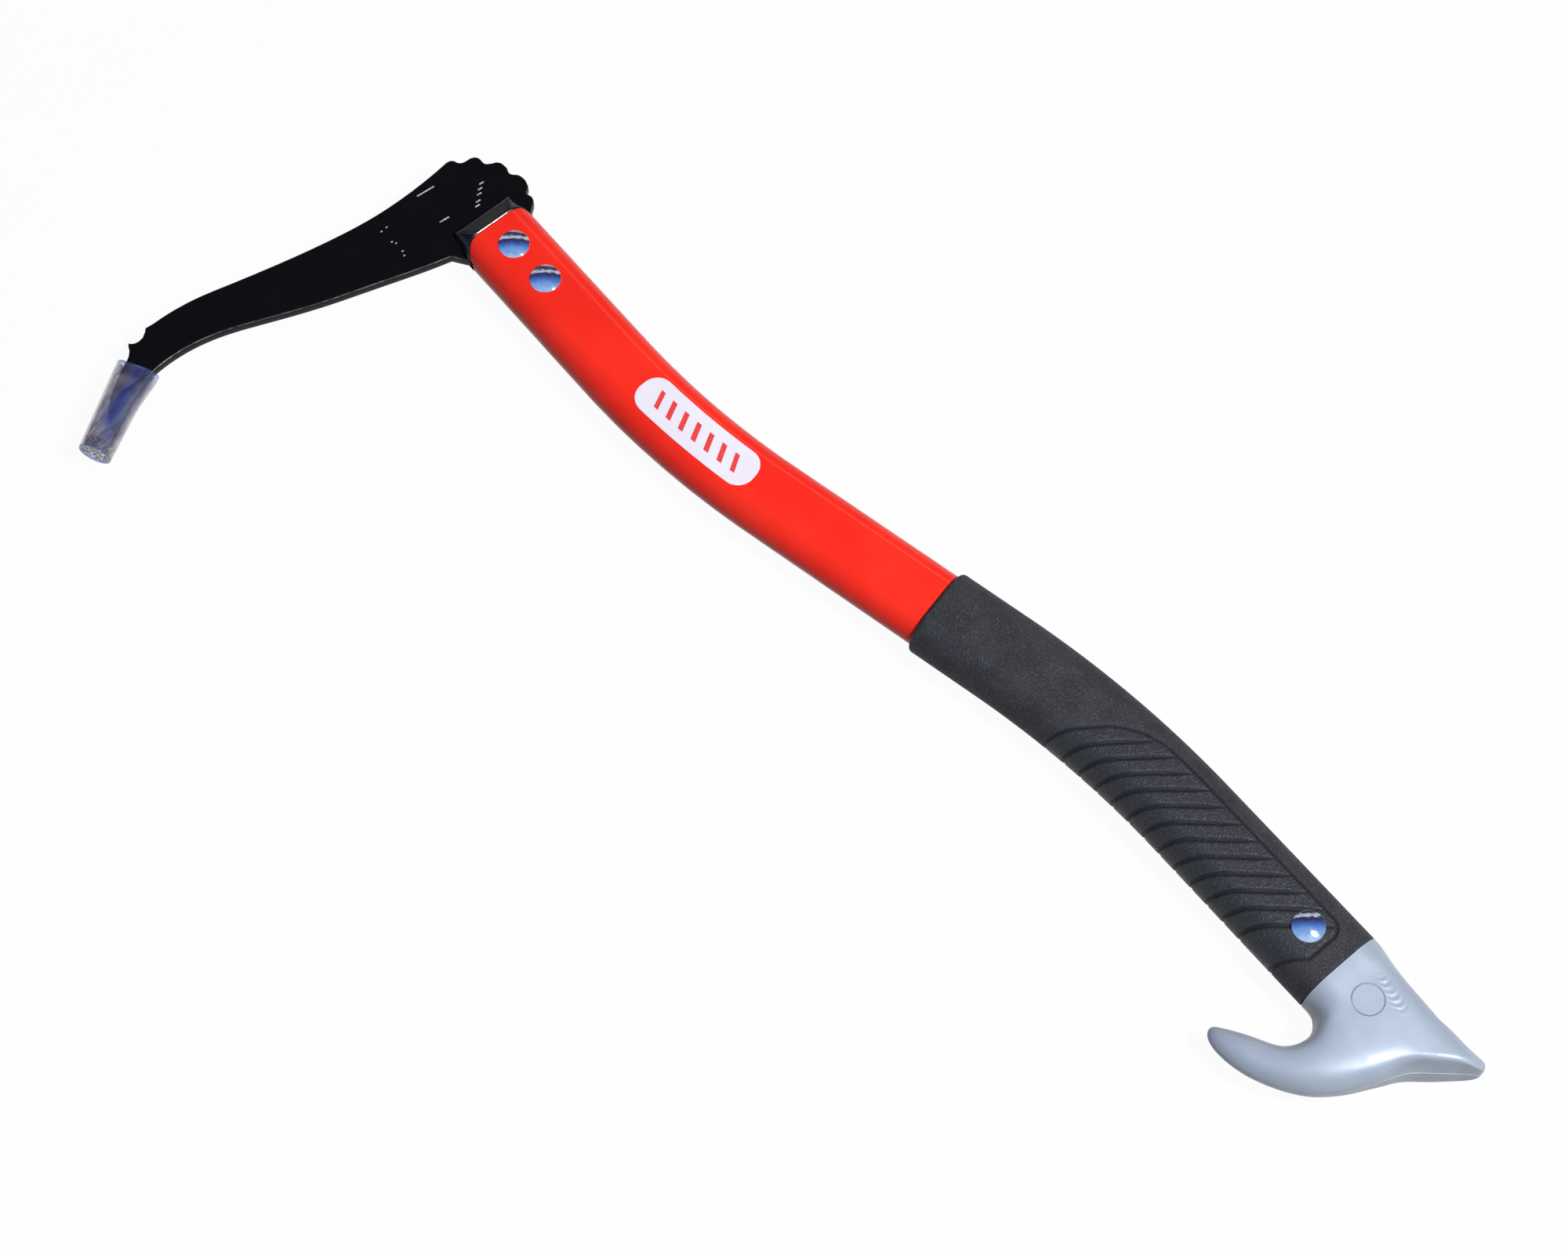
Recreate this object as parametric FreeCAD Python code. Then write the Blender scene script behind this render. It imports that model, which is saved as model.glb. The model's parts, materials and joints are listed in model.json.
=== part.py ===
import FreeCAD, Part
import math
import os

from FreeCAD import Placement, Rotation, Vector

# Hand sappie, a short timber hook, lying on its side.
# A black steel hook plate is riveted into one end of an S-bent flat-oval tube.
# The other end has a ribbed rubber grip and a plastic butt with a hanging horn.
# Working frame, in millimetres: the origin is the centre of the tube's mouth,
# +X runs towards the butt, the hook and the horn point to -Y, +Z is up.
# Every piece is moved at the end, so that the origin is under the middle of the tool.

# Handle centre line: straight runs joined by tangent arcs
HEAD_SLOPE_DEG = 5.65
HEAD_RUN = 70.8
FIRST_BEND_RADIUS = 337.0
FIRST_BEND_DEG = 13.3
MIDDLE_RUN = 102.8
SECOND_BEND_RADIUS = 388.0
SECOND_BEND_DEG = 12.9
LAST_RUN = 71.9

# Handle tube, a flat oval with rounded corners cut into its mouth
TUBE_WIDTH = 30.0
TUBE_THICKNESS = 18.0
TUBE_WALL = 2.0
MOUTH_UPPER_RADIUS = 4.0
MOUTH_LOWER_RADIUS = 6.5

# Label on the upper face of the tube
LABEL_STATION = 115.0
LABEL_LENGTH = 55.0
LABEL_WIDTH = 15.3
LABEL_CORNER = 6.6
LABEL_THICKNESS = 0.12
LABEL_GLUE = 0.03

# Hook plate
PLATE_THICKNESS = 4.0
HOOK_REACH = 154.2
HOOK_SWEEP = 61.7
TANG_WIDTH = 21.0
TANG_LENGTH = 44.0
POINT_BEVEL_START = 5.2
POINT_BEVEL_LENGTH = 24.0
POINT_EDGE_THICKNESS = 1.4

# Collar halves, with the liners that hold the tang in the tube
COLLAR_LENGTH = 8.1
COLLAR_FRONT_WIDTH = 26.0
COLLAR_FRONT_HEIGHT = 4.2
COLLAR_SIDE_SLANT = 0.6
LINER_LENGTH = 48.0

# Rivets: a domed post pressed into a domed socket
RIVET_HEAD_DIAMETER = 11.6
RIVET_HEAD_HEIGHT = 1.8
RIVET_RIM_HEIGHT = 0.35
SOCKET_DIAMETER = 6.0
POST_DIAMETER = 4.0
FIRST_RIVET_STATION = 12.2
SECOND_RIVET_STATION = 30.9
GRIP_RIVET_FROM_END = 16.3

# Rubber grip and the slanted grooves on both of its faces
GRIP_LENGTH = 188.4
GRIP_WALL = 2.0
GRIP_LIP_RADIUS = 1.5
GROOVE_DEPTH = 0.7
GROOVE_WIDTH = 1.8
GROOVE_SLANT_DEG = 48.0
GROOVE_PITCH = 8.0
GROOVE_COUNT = 12
BORDER_OFFSET = 8.9
BORDER_END_GAP = 8.3
BORDER_CORNER = 3.0

# Plastic butt
BUTT_LENGTH = 57.9
BUTT_DROP = 49.8
BUTT_THICKNESS = 21.0
BUTT_ROUNDNESS = 2.35
BUTT_SECTION_POINTS = 24
PLUG_LENGTH = 32.0

# Clear guard on the point
GUARD_PAST_POINT = 8.56
GUARD_SIDE_GAP = 0.55
GUARD_FACE_GAP = 0.8
GUARD_ROUND_DIAMETER = 12.5
GUARD_ROUNDNESS_SHARE = 0.96
GUARD_TAPER_SHARE = 0.563
GUARD_TAPER_STEPS = 6
GUARD_WALL = 1.0

# Fits
FIT_GAP = 0.1
OVERRUN = 1.0

# Edges of the hook plate: back as a share of HOOK_SWEEP, down as a share of HOOK_REACH
POLL_EDGE_SHARES = (
    (0.566, -0.049), (0.559, -0.059), (0.546, -0.065), (0.524, -0.068), (0.504, -0.073),
    (0.493, -0.081), (0.489, -0.090), (0.486, -0.098), (0.478, -0.105), (0.464, -0.111),
    (0.442, -0.114), (0.415, -0.113), (0.392, -0.114), (0.378, -0.120), (0.366, -0.126),
    (0.355, -0.135), (0.339, -0.140), (0.321, -0.143), (0.300, -0.143), (0.279, -0.143),
    (0.258, -0.139), (0.238, -0.137), (0.220, -0.140), (0.203, -0.146), (0.183, -0.150),
    (0.164, -0.151), (0.143, -0.151), (0.123, -0.149), (0.105, -0.146), (0.088, -0.142),
    (0.075, -0.133), (0.060, -0.127), (0.037, -0.129), (0.018, -0.129), (-0.000, -0.126),
    (-0.028, -0.113), (-0.066, -0.092),
)
OUTER_EDGE_SHARES = (
    (0.566, -0.049), (0.564, 0.033), (0.573, 0.098), (0.592, 0.163), (0.664, 0.293),
    (0.762, 0.423), (0.873, 0.552), (0.929, 0.617), (0.968, 0.682), (0.986, 0.740),
)
TEETH_SHARES = (
    (0.996, 0.762), (0.978, 0.770), (0.960, 0.783), (0.957, 0.796), (0.963, 0.806), (0.976, 0.813),
    (0.991, 0.817), (0.973, 0.823), (0.947, 0.829), (0.924, 0.839), (0.907, 0.851),
)
POINT_OUTER_SHARES = ((0.907, 0.851), (0.828, 0.918), (0.718, 0.974), (0.575, 1.000))
POINT_INNER_SHARES = ((0.575, 1.000), (0.629, 0.962), (0.686, 0.916), (0.726, 0.864), (0.744, 0.812))
INNER_EDGE_SHARES = (
    (0.744, 0.812), (0.741, 0.779), (0.715, 0.714), (0.664, 0.650), (0.545, 0.552),
    (0.382, 0.423), (0.241, 0.293), (0.104, 0.163), (0.065, 0.121),
)
SHOULDER_SHARES = ((0.065, 0.121), (-0.081, 0.088))
# Centres of the guard's two ends, as shares of the same two sizes
GUARD_AXIS_SHARES = ((0.825, 0.8424), (0.586, 1.0624))

# Cross-sections of the butt's crosspiece from the heel to the horn's end.
# Each has an inner and an outer edge point, as shares of BUTT_LENGTH and BUTT_DROP
# from the end of the tube, a thickness as a share of BUTT_THICKNESS, and how square
# its outer side is: 2 is a plain oval, and higher powers stand up like a wall.
CROSSPIECE_SHARES = (
    ((0.983, 0.190), (0.999, 0.140), 0.30, 3.0),
    ((0.955, 0.207), (0.972, 0.094), 0.58, 4.5),
    ((0.900, 0.204), (0.901, 0.014), 0.86, 6.0),
    ((0.790, 0.207), (0.819, -0.083), 0.97, 7.0),
    ((0.624, 0.214), (0.714, -0.202), 0.94, 6.0),
    ((0.400, 0.120), (0.653, -0.304), 0.97, 4.2),
    ((0.200, -0.300), (0.562, -0.491), 0.98, 3.6),
    ((0.146, -0.499), (0.500, -0.608), 0.95, 3.2),
    ((0.104, -0.627), (0.378, -0.769), 0.90, 2.9),
    ((0.004, -0.702), (0.200, -0.899), 0.80, 2.6),
    ((-0.099, -0.751), (0.008, -0.976), 0.69, BUTT_ROUNDNESS),
    ((-0.195, -0.807), (-0.161, -0.992), 0.55, BUTT_ROUNDNESS),
    ((-0.264, -0.852), (-0.252, -0.972), 0.34, BUTT_ROUNDNESS),
    ((-0.303, -0.880), (-0.301, -0.926), 0.12, BUTT_ROUNDNESS),
)
# Cross-sections of the neck, as above
NECK_SHARES = (
    ((0.120, 0.314), (0.086, -0.364), 0.99, BUTT_ROUNDNESS),
    ((0.260, 0.276), (0.205, -0.500), 0.95, BUTT_ROUNDNESS),
    ((0.450, 0.242), (0.400, -0.450), 0.88, BUTT_ROUNDNESS),
    ((0.640, 0.205), (0.560, -0.300), 0.62, BUTT_ROUNDNESS),
)


def tube_length():
    """Length of the tube along its centre line."""
    return sum(length for length, turn in handle_runs())


def handle_runs():
    """The centre line's runs from mouth to butt: length, and turn in degrees, left positive."""
    first_arc = FIRST_BEND_RADIUS * math.radians(FIRST_BEND_DEG)
    second_arc = SECOND_BEND_RADIUS * math.radians(SECOND_BEND_DEG)
    return (
        (HEAD_RUN, 0),
        (first_arc, FIRST_BEND_DEG),
        (MIDDLE_RUN, 0),
        (second_arc, -SECOND_BEND_DEG),
        (LAST_RUN, 0),
    )


def advance(point, heading, length, turn):
    """Follow a run and return the point and heading at its end."""
    if turn == 0:
        return point + along(heading) * length, heading
    radius = length / math.radians(turn)
    centre = point + across(heading) * radius
    return centre - across(heading + turn) * radius, heading + turn


def along(heading):
    """Unit vector of a heading given in degrees from +X."""
    angle = math.radians(heading)
    return Vector(math.cos(angle), math.sin(angle), 0)


def across(heading):
    """Unit vector to the left of a heading."""
    return along(heading + 90)


def pose_at(station):
    """Point and heading of the centre line at a distance from the mouth."""
    point, heading = Vector(0, 0, 0), -HEAD_SLOPE_DEG
    left = station
    runs = handle_runs()
    for index, (length, turn) in enumerate(runs):
        last = index == len(runs) - 1
        if left <= length or last:
            return advance(point, heading, left, turn * left / length)
        point, heading = advance(point, heading, length, turn)
        left -= length


def oval_wire(width, thickness):
    """Flat oval across the X axis, with half-round sides."""
    radius = thickness / 2
    flat = (width - thickness) / 2
    upper = [Vector(0, flat, radius), Vector(0, -flat, radius)]
    corners = upper + [Vector(0, -flat, -radius), Vector(0, flat, -radius)]
    left = Part.Arc(corners[1], Vector(0, -flat - radius, 0), corners[2])
    right = Part.Arc(corners[3], Vector(0, flat + radius, 0), corners[0])
    edges = [
        Part.LineSegment(corners[0], corners[1]).toShape(),
        left.toShape(),
        Part.LineSegment(corners[2], corners[3]).toShape(),
        right.toShape(),
    ]
    return Part.Wire(edges)


def placed(shape, point, heading):
    """Copy of a shape, turned to a heading and moved to a point."""
    copy = shape.copy()
    copy.Placement = Placement(point, Rotation(Vector(0, 0, 1), heading)).multiply(copy.Placement)
    return copy


def bar(width, thickness, start, end):
    """Flat-oval bar along the centre line between two stations."""
    section = Part.Face(oval_wire(width, thickness))
    solids = []
    low = 0
    runs = handle_runs()
    for index, (length, turn) in enumerate(runs):
        first, last = index == 0, index == len(runs) - 1
        begin = start if first else max(start, low)
        finish = end if last else min(end, low + length)
        if finish > begin:
            point, heading = pose_at(begin)
            face = placed(section, point, heading)
            if turn == 0:
                solids.append(face.extrude(along(heading) * (finish - begin)))
            else:
                centre = point + across(heading) * (length / math.radians(turn))
                solids.append(face.revolve(centre, Vector(0, 0, 1), turn * (finish - begin) / length))
        low += length
    return solids[0].fuse(solids[1:]) if len(solids) > 1 else solids[0]


def block(x_low, x_high, y_low, y_high, z_low, z_high):
    """Box between two corners."""
    size = Vector(x_high - x_low, y_high - y_low, z_high - z_low)
    return Part.makeBox(size.x, size.y, size.z, Vector(x_low, y_low, z_low))


def at_mouth(shape):
    """Copy of a shape drawn along +X, turned to the head end of the centre line."""
    return placed(shape, Vector(0, 0, 0), -HEAD_SLOPE_DEG)


def upright_pin(radius, station, low, high):
    """Vertical cylinder on the centre line."""
    point, heading = pose_at(station)
    return Part.makeCylinder(radius, high - low, Vector(point.x, point.y, low))


def mouth_corner(radius, side):
    """What is cut away to round one corner of the tube's mouth, on side +1 or -1."""
    half = TUBE_WIDTH / 2
    tall = TUBE_THICKNESS / 2 + OVERRUN
    reach = half + OVERRUN
    inner = half - radius
    low, high = sorted((side * inner, side * reach))
    corner = block(-OVERRUN, radius, low, high, -tall, tall)
    keep = Part.makeCylinder(radius, 2 * tall, Vector(radius, side * inner, -tall))
    return corner.cut(keep)


def tube_envelope(gap=0):
    """Filled tube with its rounded mouth, grown by a gap across and past the mouth."""
    solid = bar(TUBE_WIDTH + 2 * gap, TUBE_THICKNESS + 2 * gap, -gap, tube_length())
    for radius, side in ((MOUTH_UPPER_RADIUS, 1), (MOUTH_LOWER_RADIUS, -1)):
        corner = mouth_corner(radius, side)
        corner.translate(Vector(-gap, side * gap, 0))
        solid = solid.cut(at_mouth(corner))
    return solid


def rivet_stations():
    """Stations of the two head rivets and the grip rivet, by name."""
    return {
        "rivet_mouth": FIRST_RIVET_STATION,
        "rivet_tang": SECOND_RIVET_STATION,
        "rivet_grip": tube_length() - GRIP_RIVET_FROM_END,
    }


def rivet_holes():
    """Clearance holes for every rivet, as one shape."""
    reach = TUBE_THICKNESS / 2 + GRIP_WALL + OVERRUN
    radius = SOCKET_DIAMETER / 2 + FIT_GAP
    pins = [upright_pin(radius, station, -reach, reach) for station in rivet_stations().values()]
    return pins[0].fuse(pins[1:])


def handle_tube():
    """Hollow tube, drilled for the rivets."""
    bore_width = TUBE_WIDTH - 2 * TUBE_WALL
    bore_thickness = TUBE_THICKNESS - 2 * TUBE_WALL
    bore = bar(bore_width, bore_thickness, -OVERRUN, tube_length() + OVERRUN)
    return tube_envelope().cut(bore).cut(rivet_holes())


def handle_label():
    """Thin label that follows the upper face of the tube, on its layer of glue."""
    before = LABEL_STATION - LABEL_LENGTH
    after = LABEL_STATION + LABEL_LENGTH
    under = 2 * LABEL_GLUE
    over = under + 2 * LABEL_THICKNESS
    film = bar(TUBE_WIDTH + over, TUBE_THICKNESS + over, before, after)
    film = film.cut(bar(TUBE_WIDTH + under, TUBE_THICKNESS + under, before, after))
    half, wide = LABEL_LENGTH / 2, LABEL_WIDTH / 2
    sheet = block(-half, half, -wide, wide, 0, TUBE_THICKNESS)
    upright = [edge for edge in sheet.Edges if edge.BoundBox.ZLength > LABEL_CORNER]
    sheet = sheet.makeFillet(LABEL_CORNER, upright)
    point, heading = pose_at(LABEL_STATION)
    return film.common(placed(sheet, point, heading))


def plate_points(shares):
    """Points of the hook plate's outline from their shares."""
    return [Vector(-back * HOOK_SWEEP, -down * HOOK_REACH, 0) for back, down in shares]


def smooth_edge(points):
    """Smooth curve through points."""
    curve = Part.BSplineCurve()
    curve.interpolate(points)
    return curve.toShape()


def chain(points):
    """Straight edges from point to point."""
    return [Part.LineSegment(a, b).toShape() for a, b in zip(points, points[1:])]


def slab(edges, thickness):
    """Closed outline made into a plate, half above and half below the middle plane."""
    face = Part.Face(Part.Wire(Part.__sortEdges__(edges)))
    face.translate(Vector(0, 0, -thickness / 2))
    return face.extrude(Vector(0, 0, thickness))


def hook_plate():
    """The plate outside the tube: scalloped poll, toothed arm and point."""
    outer = plate_points(OUTER_EDGE_SHARES)
    poll = plate_points(POLL_EDGE_SHARES)
    smooth = (POINT_OUTER_SHARES, POINT_INNER_SHARES, INNER_EDGE_SHARES)
    edges = [smooth_edge(poll), smooth_edge(outer)]
    edges += [smooth_edge(plate_points(shares)) for shares in smooth]
    edges += chain([outer[-1]] + plate_points(TEETH_SHARES))
    edges += chain(plate_points(SHOULDER_SHARES) + [poll[-1]])
    return slab(edges, PLATE_THICKNESS)


def guard_axis():
    """Mouth centre and heading of the guard, along the point."""
    mouth, end = plate_points(GUARD_AXIS_SHARES)
    return mouth, math.degrees(math.atan2(end.y - mouth.y, end.x - mouth.x))


def point_length():
    """How far the plate's point reaches past the guard's mouth."""
    mouth, heading = guard_axis()
    tip = plate_points(POINT_OUTER_SHARES)[-1]
    return (tip - mouth).dot(along(heading))


def guard_length():
    """Length of the guard, past the end of the point."""
    return point_length() + GUARD_PAST_POINT


def guard_flat_width():
    """Width of the guard's flat mouth, which clears the plate's inner edge."""
    mouth, heading = guard_axis()
    edge = plate_points(INNER_EDGE_SHARES)[0]
    return 2 * ((edge - mouth).dot(across(heading)) + GUARD_SIDE_GAP + GUARD_WALL)


def point_bevels():
    """Wedges that thin the plate's point on both faces."""
    start, heading = guard_axis()
    half, thin = PLATE_THICKNESS / 2, POINT_EDGE_THICKNESS / 2
    end = POINT_BEVEL_LENGTH
    far = end + guard_length()
    wide = guard_flat_width()
    profile = ((0, half), (far, half), (far, thin), (end, thin))
    corners = [Vector(distance, -wide, height) for distance, height in profile]
    face = Part.Face(Part.makePolygon(corners + corners[:1]))
    wedge = face.extrude(Vector(0, 2 * wide, 0))
    upper = placed(wedge, start + along(heading) * POINT_BEVEL_START, heading)
    lower = upper.mirror(Vector(0, 0, 0), Vector(0, 0, 1))
    return upper.fuse(lower)


def tang():
    """Tongue of the plate inside the tube."""
    half = TANG_WIDTH / 2
    deep = PLATE_THICKNESS / 2
    return at_mouth(block(-COLLAR_LENGTH, TANG_LENGTH, -half, half, -deep, deep))


def hook_blade():
    """Whole hook plate with its tang and holes."""
    plate = hook_plate().cut(tube_envelope(FIT_GAP)).fuse(tang())
    return plate.cut(point_bevels()).cut(rivet_holes())


def collar_half(side):
    """Collar and liner on one face of the plate, side +1 for the upper one."""
    half = TUBE_THICKNESS / 2
    floor = PLATE_THICKNESS / 2 + FIT_GAP
    reach = TUBE_WIDTH
    longest = max(MOUTH_UPPER_RADIUS, MOUTH_LOWER_RADIUS)
    hood = at_mouth(Part.makeLoft([collar_front(), collar_mouth()], True, True))
    collar = hood.fuse(bar(TUBE_WIDTH, TUBE_THICKNESS, 0, longest)).cut(tube_envelope(FIT_GAP))
    bore_width = TUBE_WIDTH - 2 * TUBE_WALL - 2 * FIT_GAP
    bore_thickness = TUBE_THICKNESS - 2 * TUBE_WALL - 2 * FIT_GAP
    liner = bar(bore_width, bore_thickness, -FIT_GAP, LINER_LENGTH)
    upper_half = block(-reach, LINER_LENGTH + reach, -reach, reach, floor, 2 * half)
    whole = collar.fuse(liner).common(upper_half).cut(rivet_holes())
    return whole if side > 0 else whole.mirror(Vector(0, 0, 0), Vector(0, 0, 1))


def collar_front():
    """Outline of the collar's front: a low box with slightly slanted sides."""
    wide, high = COLLAR_FRONT_WIDTH / 2, COLLAR_FRONT_HEIGHT
    flat = wide - COLLAR_SIDE_SLANT
    profile = ((flat, high), (-flat, high), (-wide, 0), (-flat, -high), (flat, -high), (wide, 0))
    corners = [Vector(-COLLAR_LENGTH, side, height) for side, height in profile]
    return Part.Wire(chain(corners + corners[:1]))


def collar_mouth():
    """Outline of the collar's back, the tube's own oval in six edges."""
    radius = TUBE_THICKNESS / 2
    flat = (TUBE_WIDTH - TUBE_THICKNESS) / 2
    slant = radius * math.sqrt(0.5)
    edges = []
    for side in (1, -1):
        top, low = Vector(0, side * flat, side * radius), Vector(0, -side * flat, side * radius)
        far = Vector(0, -side * (flat + radius), 0)
        under = Vector(0, -side * flat, -side * radius)
        edges.append(Part.LineSegment(top, low).toShape())
        edges.append(Part.Arc(low, Vector(0, -side * (flat + slant), side * slant), far).toShape())
        edges.append(Part.Arc(far, Vector(0, -side * (flat + slant), -side * slant), under).toShape())
    return Part.Wire(edges)


def rivet_dome(station, seat):
    """Domed head standing on a seat height, flat side down."""
    radius = RIVET_HEAD_DIAMETER / 2
    crown = RIVET_HEAD_HEIGHT - RIVET_RIM_HEIGHT
    ball = (radius * radius + crown * crown) / (2 * crown)
    foot, rim = Vector(radius, 0, 0), Vector(radius, 0, RIVET_RIM_HEIGHT)
    top = Vector(0, 0, RIVET_HEAD_HEIGHT)
    half_angle = math.asin(radius / ball) / 2
    centre = Vector(0, 0, RIVET_HEAD_HEIGHT - ball)
    middle = centre + Vector(ball * math.sin(half_angle), 0, ball * math.cos(half_angle))
    edges = chain([top, Vector(0, 0, 0), foot, rim]) + [Part.Arc(rim, middle, top).toShape()]
    dome = Part.Face(Part.Wire(edges)).revolve(Vector(0, 0, 0), Vector(0, 0, 1), 360)
    point, heading = pose_at(station)
    dome.translate(Vector(point.x, point.y, seat))
    return dome


def rivet_halves(station, seat):
    """Post half from above and socket half from below, seated at plus and minus a height."""
    dome = rivet_dome(station, seat)
    post = dome.fuse(upright_pin(POST_DIAMETER / 2, station, TUBE_WALL - seat, seat))
    lower_dome = dome.mirror(Vector(0, 0, 0), Vector(0, 0, 1))
    sleeve = upright_pin(SOCKET_DIAMETER / 2, station, -seat, seat - TUBE_WALL)
    hole = upright_pin(POST_DIAMETER / 2 + FIT_GAP / 2, station, FIT_GAP + TUBE_WALL / 2 - seat, seat)
    return post, lower_dome.fuse(sleeve).cut(hole)


def groove_strip(offset, side):
    """Slanted band over the grip's lower side up to a side, by where it crosses the centre line."""
    tall = TUBE_THICKNESS / 2 + GRIP_WALL + OVERRUN
    point, heading = pose_at(tube_length() - offset)
    low, high = -TUBE_WIDTH, side / math.sin(math.radians(GROOVE_SLANT_DEG))
    strip = block(low, high, -GROOVE_WIDTH / 2, GROOVE_WIDTH / 2, 0, tall)
    return placed(strip, point, heading + GROOVE_SLANT_DEG)


def border_spread():
    """How far a groove runs along the handle between the centre line and the border."""
    return BORDER_OFFSET / math.tan(math.radians(GROOVE_SLANT_DEG))


def groove_offsets():
    """Where each slanted groove crosses the centre line, back from the tube's end."""
    first = BORDER_END_GAP + border_spread()
    return [first + GROOVE_PITCH * index for index in range(GROOVE_COUNT + 1)]


def grip_grooves():
    """Thin cut that leaves the grooves on both faces of the grip."""
    core_width = grip_width() - 2 * GROOVE_DEPTH
    core_thickness = grip_thickness() - 2 * GROOVE_DEPTH
    core = bar(core_width, core_thickness, 0, tube_length() + OVERRUN)
    strips = [groove_strip(offset, BORDER_OFFSET) for offset in groove_offsets()]
    strips.append(groove_strip(BORDER_END_GAP - border_spread(), -BORDER_OFFSET))
    upper = strips[0].fuse(strips[1:] + border_rails()).cut(core)
    return upper.fuse(upper.mirror(Vector(0, 0, 0), Vector(0, 0, 1)))


def border_rails():
    """Bands of the border: beside the centre line, round the corner and across."""
    tall = TUBE_THICKNESS / 2 + GRIP_WALL + OVERRUN
    rails = []
    begin = tube_length() - groove_offsets()[-1] + border_spread()
    end = tube_length() - BORDER_END_GAP
    low = 0
    for length, turn in handle_runs():
        first, last = max(begin, low), min(end - BORDER_CORNER, low + length)
        if last > first:
            rails.append(rail(first, last, turn / length, tall))
        low += length
    point, heading = pose_at(end)
    half, side = GROOVE_WIDTH / 2, BORDER_OFFSET - BORDER_CORNER
    hub = Vector(-BORDER_CORNER, side, 0)
    outside = Part.makeCylinder(BORDER_CORNER + half, tall, hub, Vector(0, 0, 1), 90)
    inside = Part.makeCylinder(BORDER_CORNER - half, tall, hub)
    cross = block(-half, half, -BORDER_OFFSET, side, 0, tall)
    return rails + [placed(band, point, heading) for band in (outside.cut(inside), cross)]


def rail(first, last, turn_per_length, tall):
    """Upright band beside the centre line between two stations of one run."""
    point, heading = pose_at(first)
    low, high = BORDER_OFFSET - GROOVE_WIDTH / 2, BORDER_OFFSET + GROOVE_WIDTH / 2
    corners = [Vector(0, low, 0), Vector(0, high, 0), Vector(0, high, tall), Vector(0, low, tall)]
    face = placed(Part.Face(Part.makePolygon(corners + corners[:1])), point, heading)
    if turn_per_length == 0:
        return face.extrude(along(heading) * (last - first))
    centre = point + across(heading) / math.radians(turn_per_length)
    return face.revolve(centre, Vector(0, 0, 1), turn_per_length * (last - first))


def grip_width():
    """Width over the rubber."""
    return TUBE_WIDTH + 2 * GRIP_WALL


def grip_thickness():
    """Thickness over the rubber."""
    return TUBE_THICKNESS + 2 * GRIP_WALL


def grip_sleeve():
    """Rubber sleeve with a rounded lip and grooved faces."""
    start, end = tube_length() - GRIP_LENGTH, tube_length()
    outer = bar(grip_width(), grip_thickness(), start, end)
    lip, heading = pose_at(start)
    depth = {edge: (edge.CenterOfMass - lip).dot(along(heading)) for edge in outer.Edges}
    outer = outer.makeFillet(GRIP_LIP_RADIUS, [edge for edge in depth if abs(depth[edge]) < FIT_GAP])
    inner = bar(TUBE_WIDTH + FIT_GAP, TUBE_THICKNESS + FIT_GAP, start - OVERRUN, end + OVERRUN)
    return outer.cut(inner).cut(grip_grooves()).cut(rivet_holes())


def butt_point(shares):
    """Point of the butt from its shares, measured from the end of the tube."""
    end, heading = pose_at(tube_length())
    return end + Vector(shares[0] * BUTT_LENGTH, shares[1] * BUTT_DROP, 0)


def butt_section(upper_share, lower_share, thickness_share, squareness):
    """Cross-section between two edge points, round above and squarer below."""
    upper, lower = butt_point(upper_share), butt_point(lower_share)
    middle = (upper + lower) / 2
    side = (upper - lower) / 2
    deep = Vector(0, 0, thickness_share * BUTT_THICKNESS / 2)
    turns = [index / BUTT_SECTION_POINTS for index in range(BUTT_SECTION_POINTS + 1)]
    points = []
    for turn in turns[:-1]:
        cosine, sine = math.cos(2 * math.pi * turn), math.sin(2 * math.pi * turn)
        power = BUTT_ROUNDNESS if cosine > 0 else squareness
        reach = (abs(cosine) ** power + abs(sine) ** power) ** (-1 / power)
        points.append(middle + side * cosine * reach + deep * sine * reach)
    curve = Part.BSplineCurve()
    curve.interpolate(Points=points, PeriodicFlag=True, Parameters=turns)
    return Part.Wire(curve.toShape())


def butt_plug():
    """Plug that fills the end of the tube behind the butt."""
    width = TUBE_WIDTH - 2 * TUBE_WALL - 2 * FIT_GAP
    thickness = TUBE_THICKNESS - 2 * TUBE_WALL - 2 * FIT_GAP
    return bar(width, thickness, tube_length() - PLUG_LENGTH, tube_length() + OVERRUN)


def butt_hook():
    """Butt with its heel, hanging horn and plug."""
    crosspiece = Part.makeLoft([butt_section(*row) for row in CROSSPIECE_SHARES], True, False)
    end, heading = pose_at(tube_length())
    collar = placed(oval_wire(grip_width(), grip_thickness()), end + along(heading) * FIT_GAP, heading)
    neck = Part.makeLoft([collar] + [butt_section(*row) for row in NECK_SHARES], True, False)
    return crosspiece.fuse(neck).fuse(butt_plug()).cut(rivet_holes())


def guard_section(inset, distance, blend):
    """Section of the guard at a distance from its mouth; blend 0 is flat and 1 is round."""
    start, heading = guard_axis()
    flat_thickness = PLATE_THICKNESS + 2 * (GUARD_FACE_GAP + GUARD_WALL)
    thick = GUARD_ROUND_DIAMETER * GUARD_ROUNDNESS_SHARE
    width = guard_flat_width() + (GUARD_ROUND_DIAMETER - guard_flat_width()) * blend
    thickness = flat_thickness + (thick - flat_thickness) * blend
    wire = oval_wire(width - 2 * inset, thickness - 2 * inset)
    return placed(wire, start + along(heading) * distance, heading)


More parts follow.
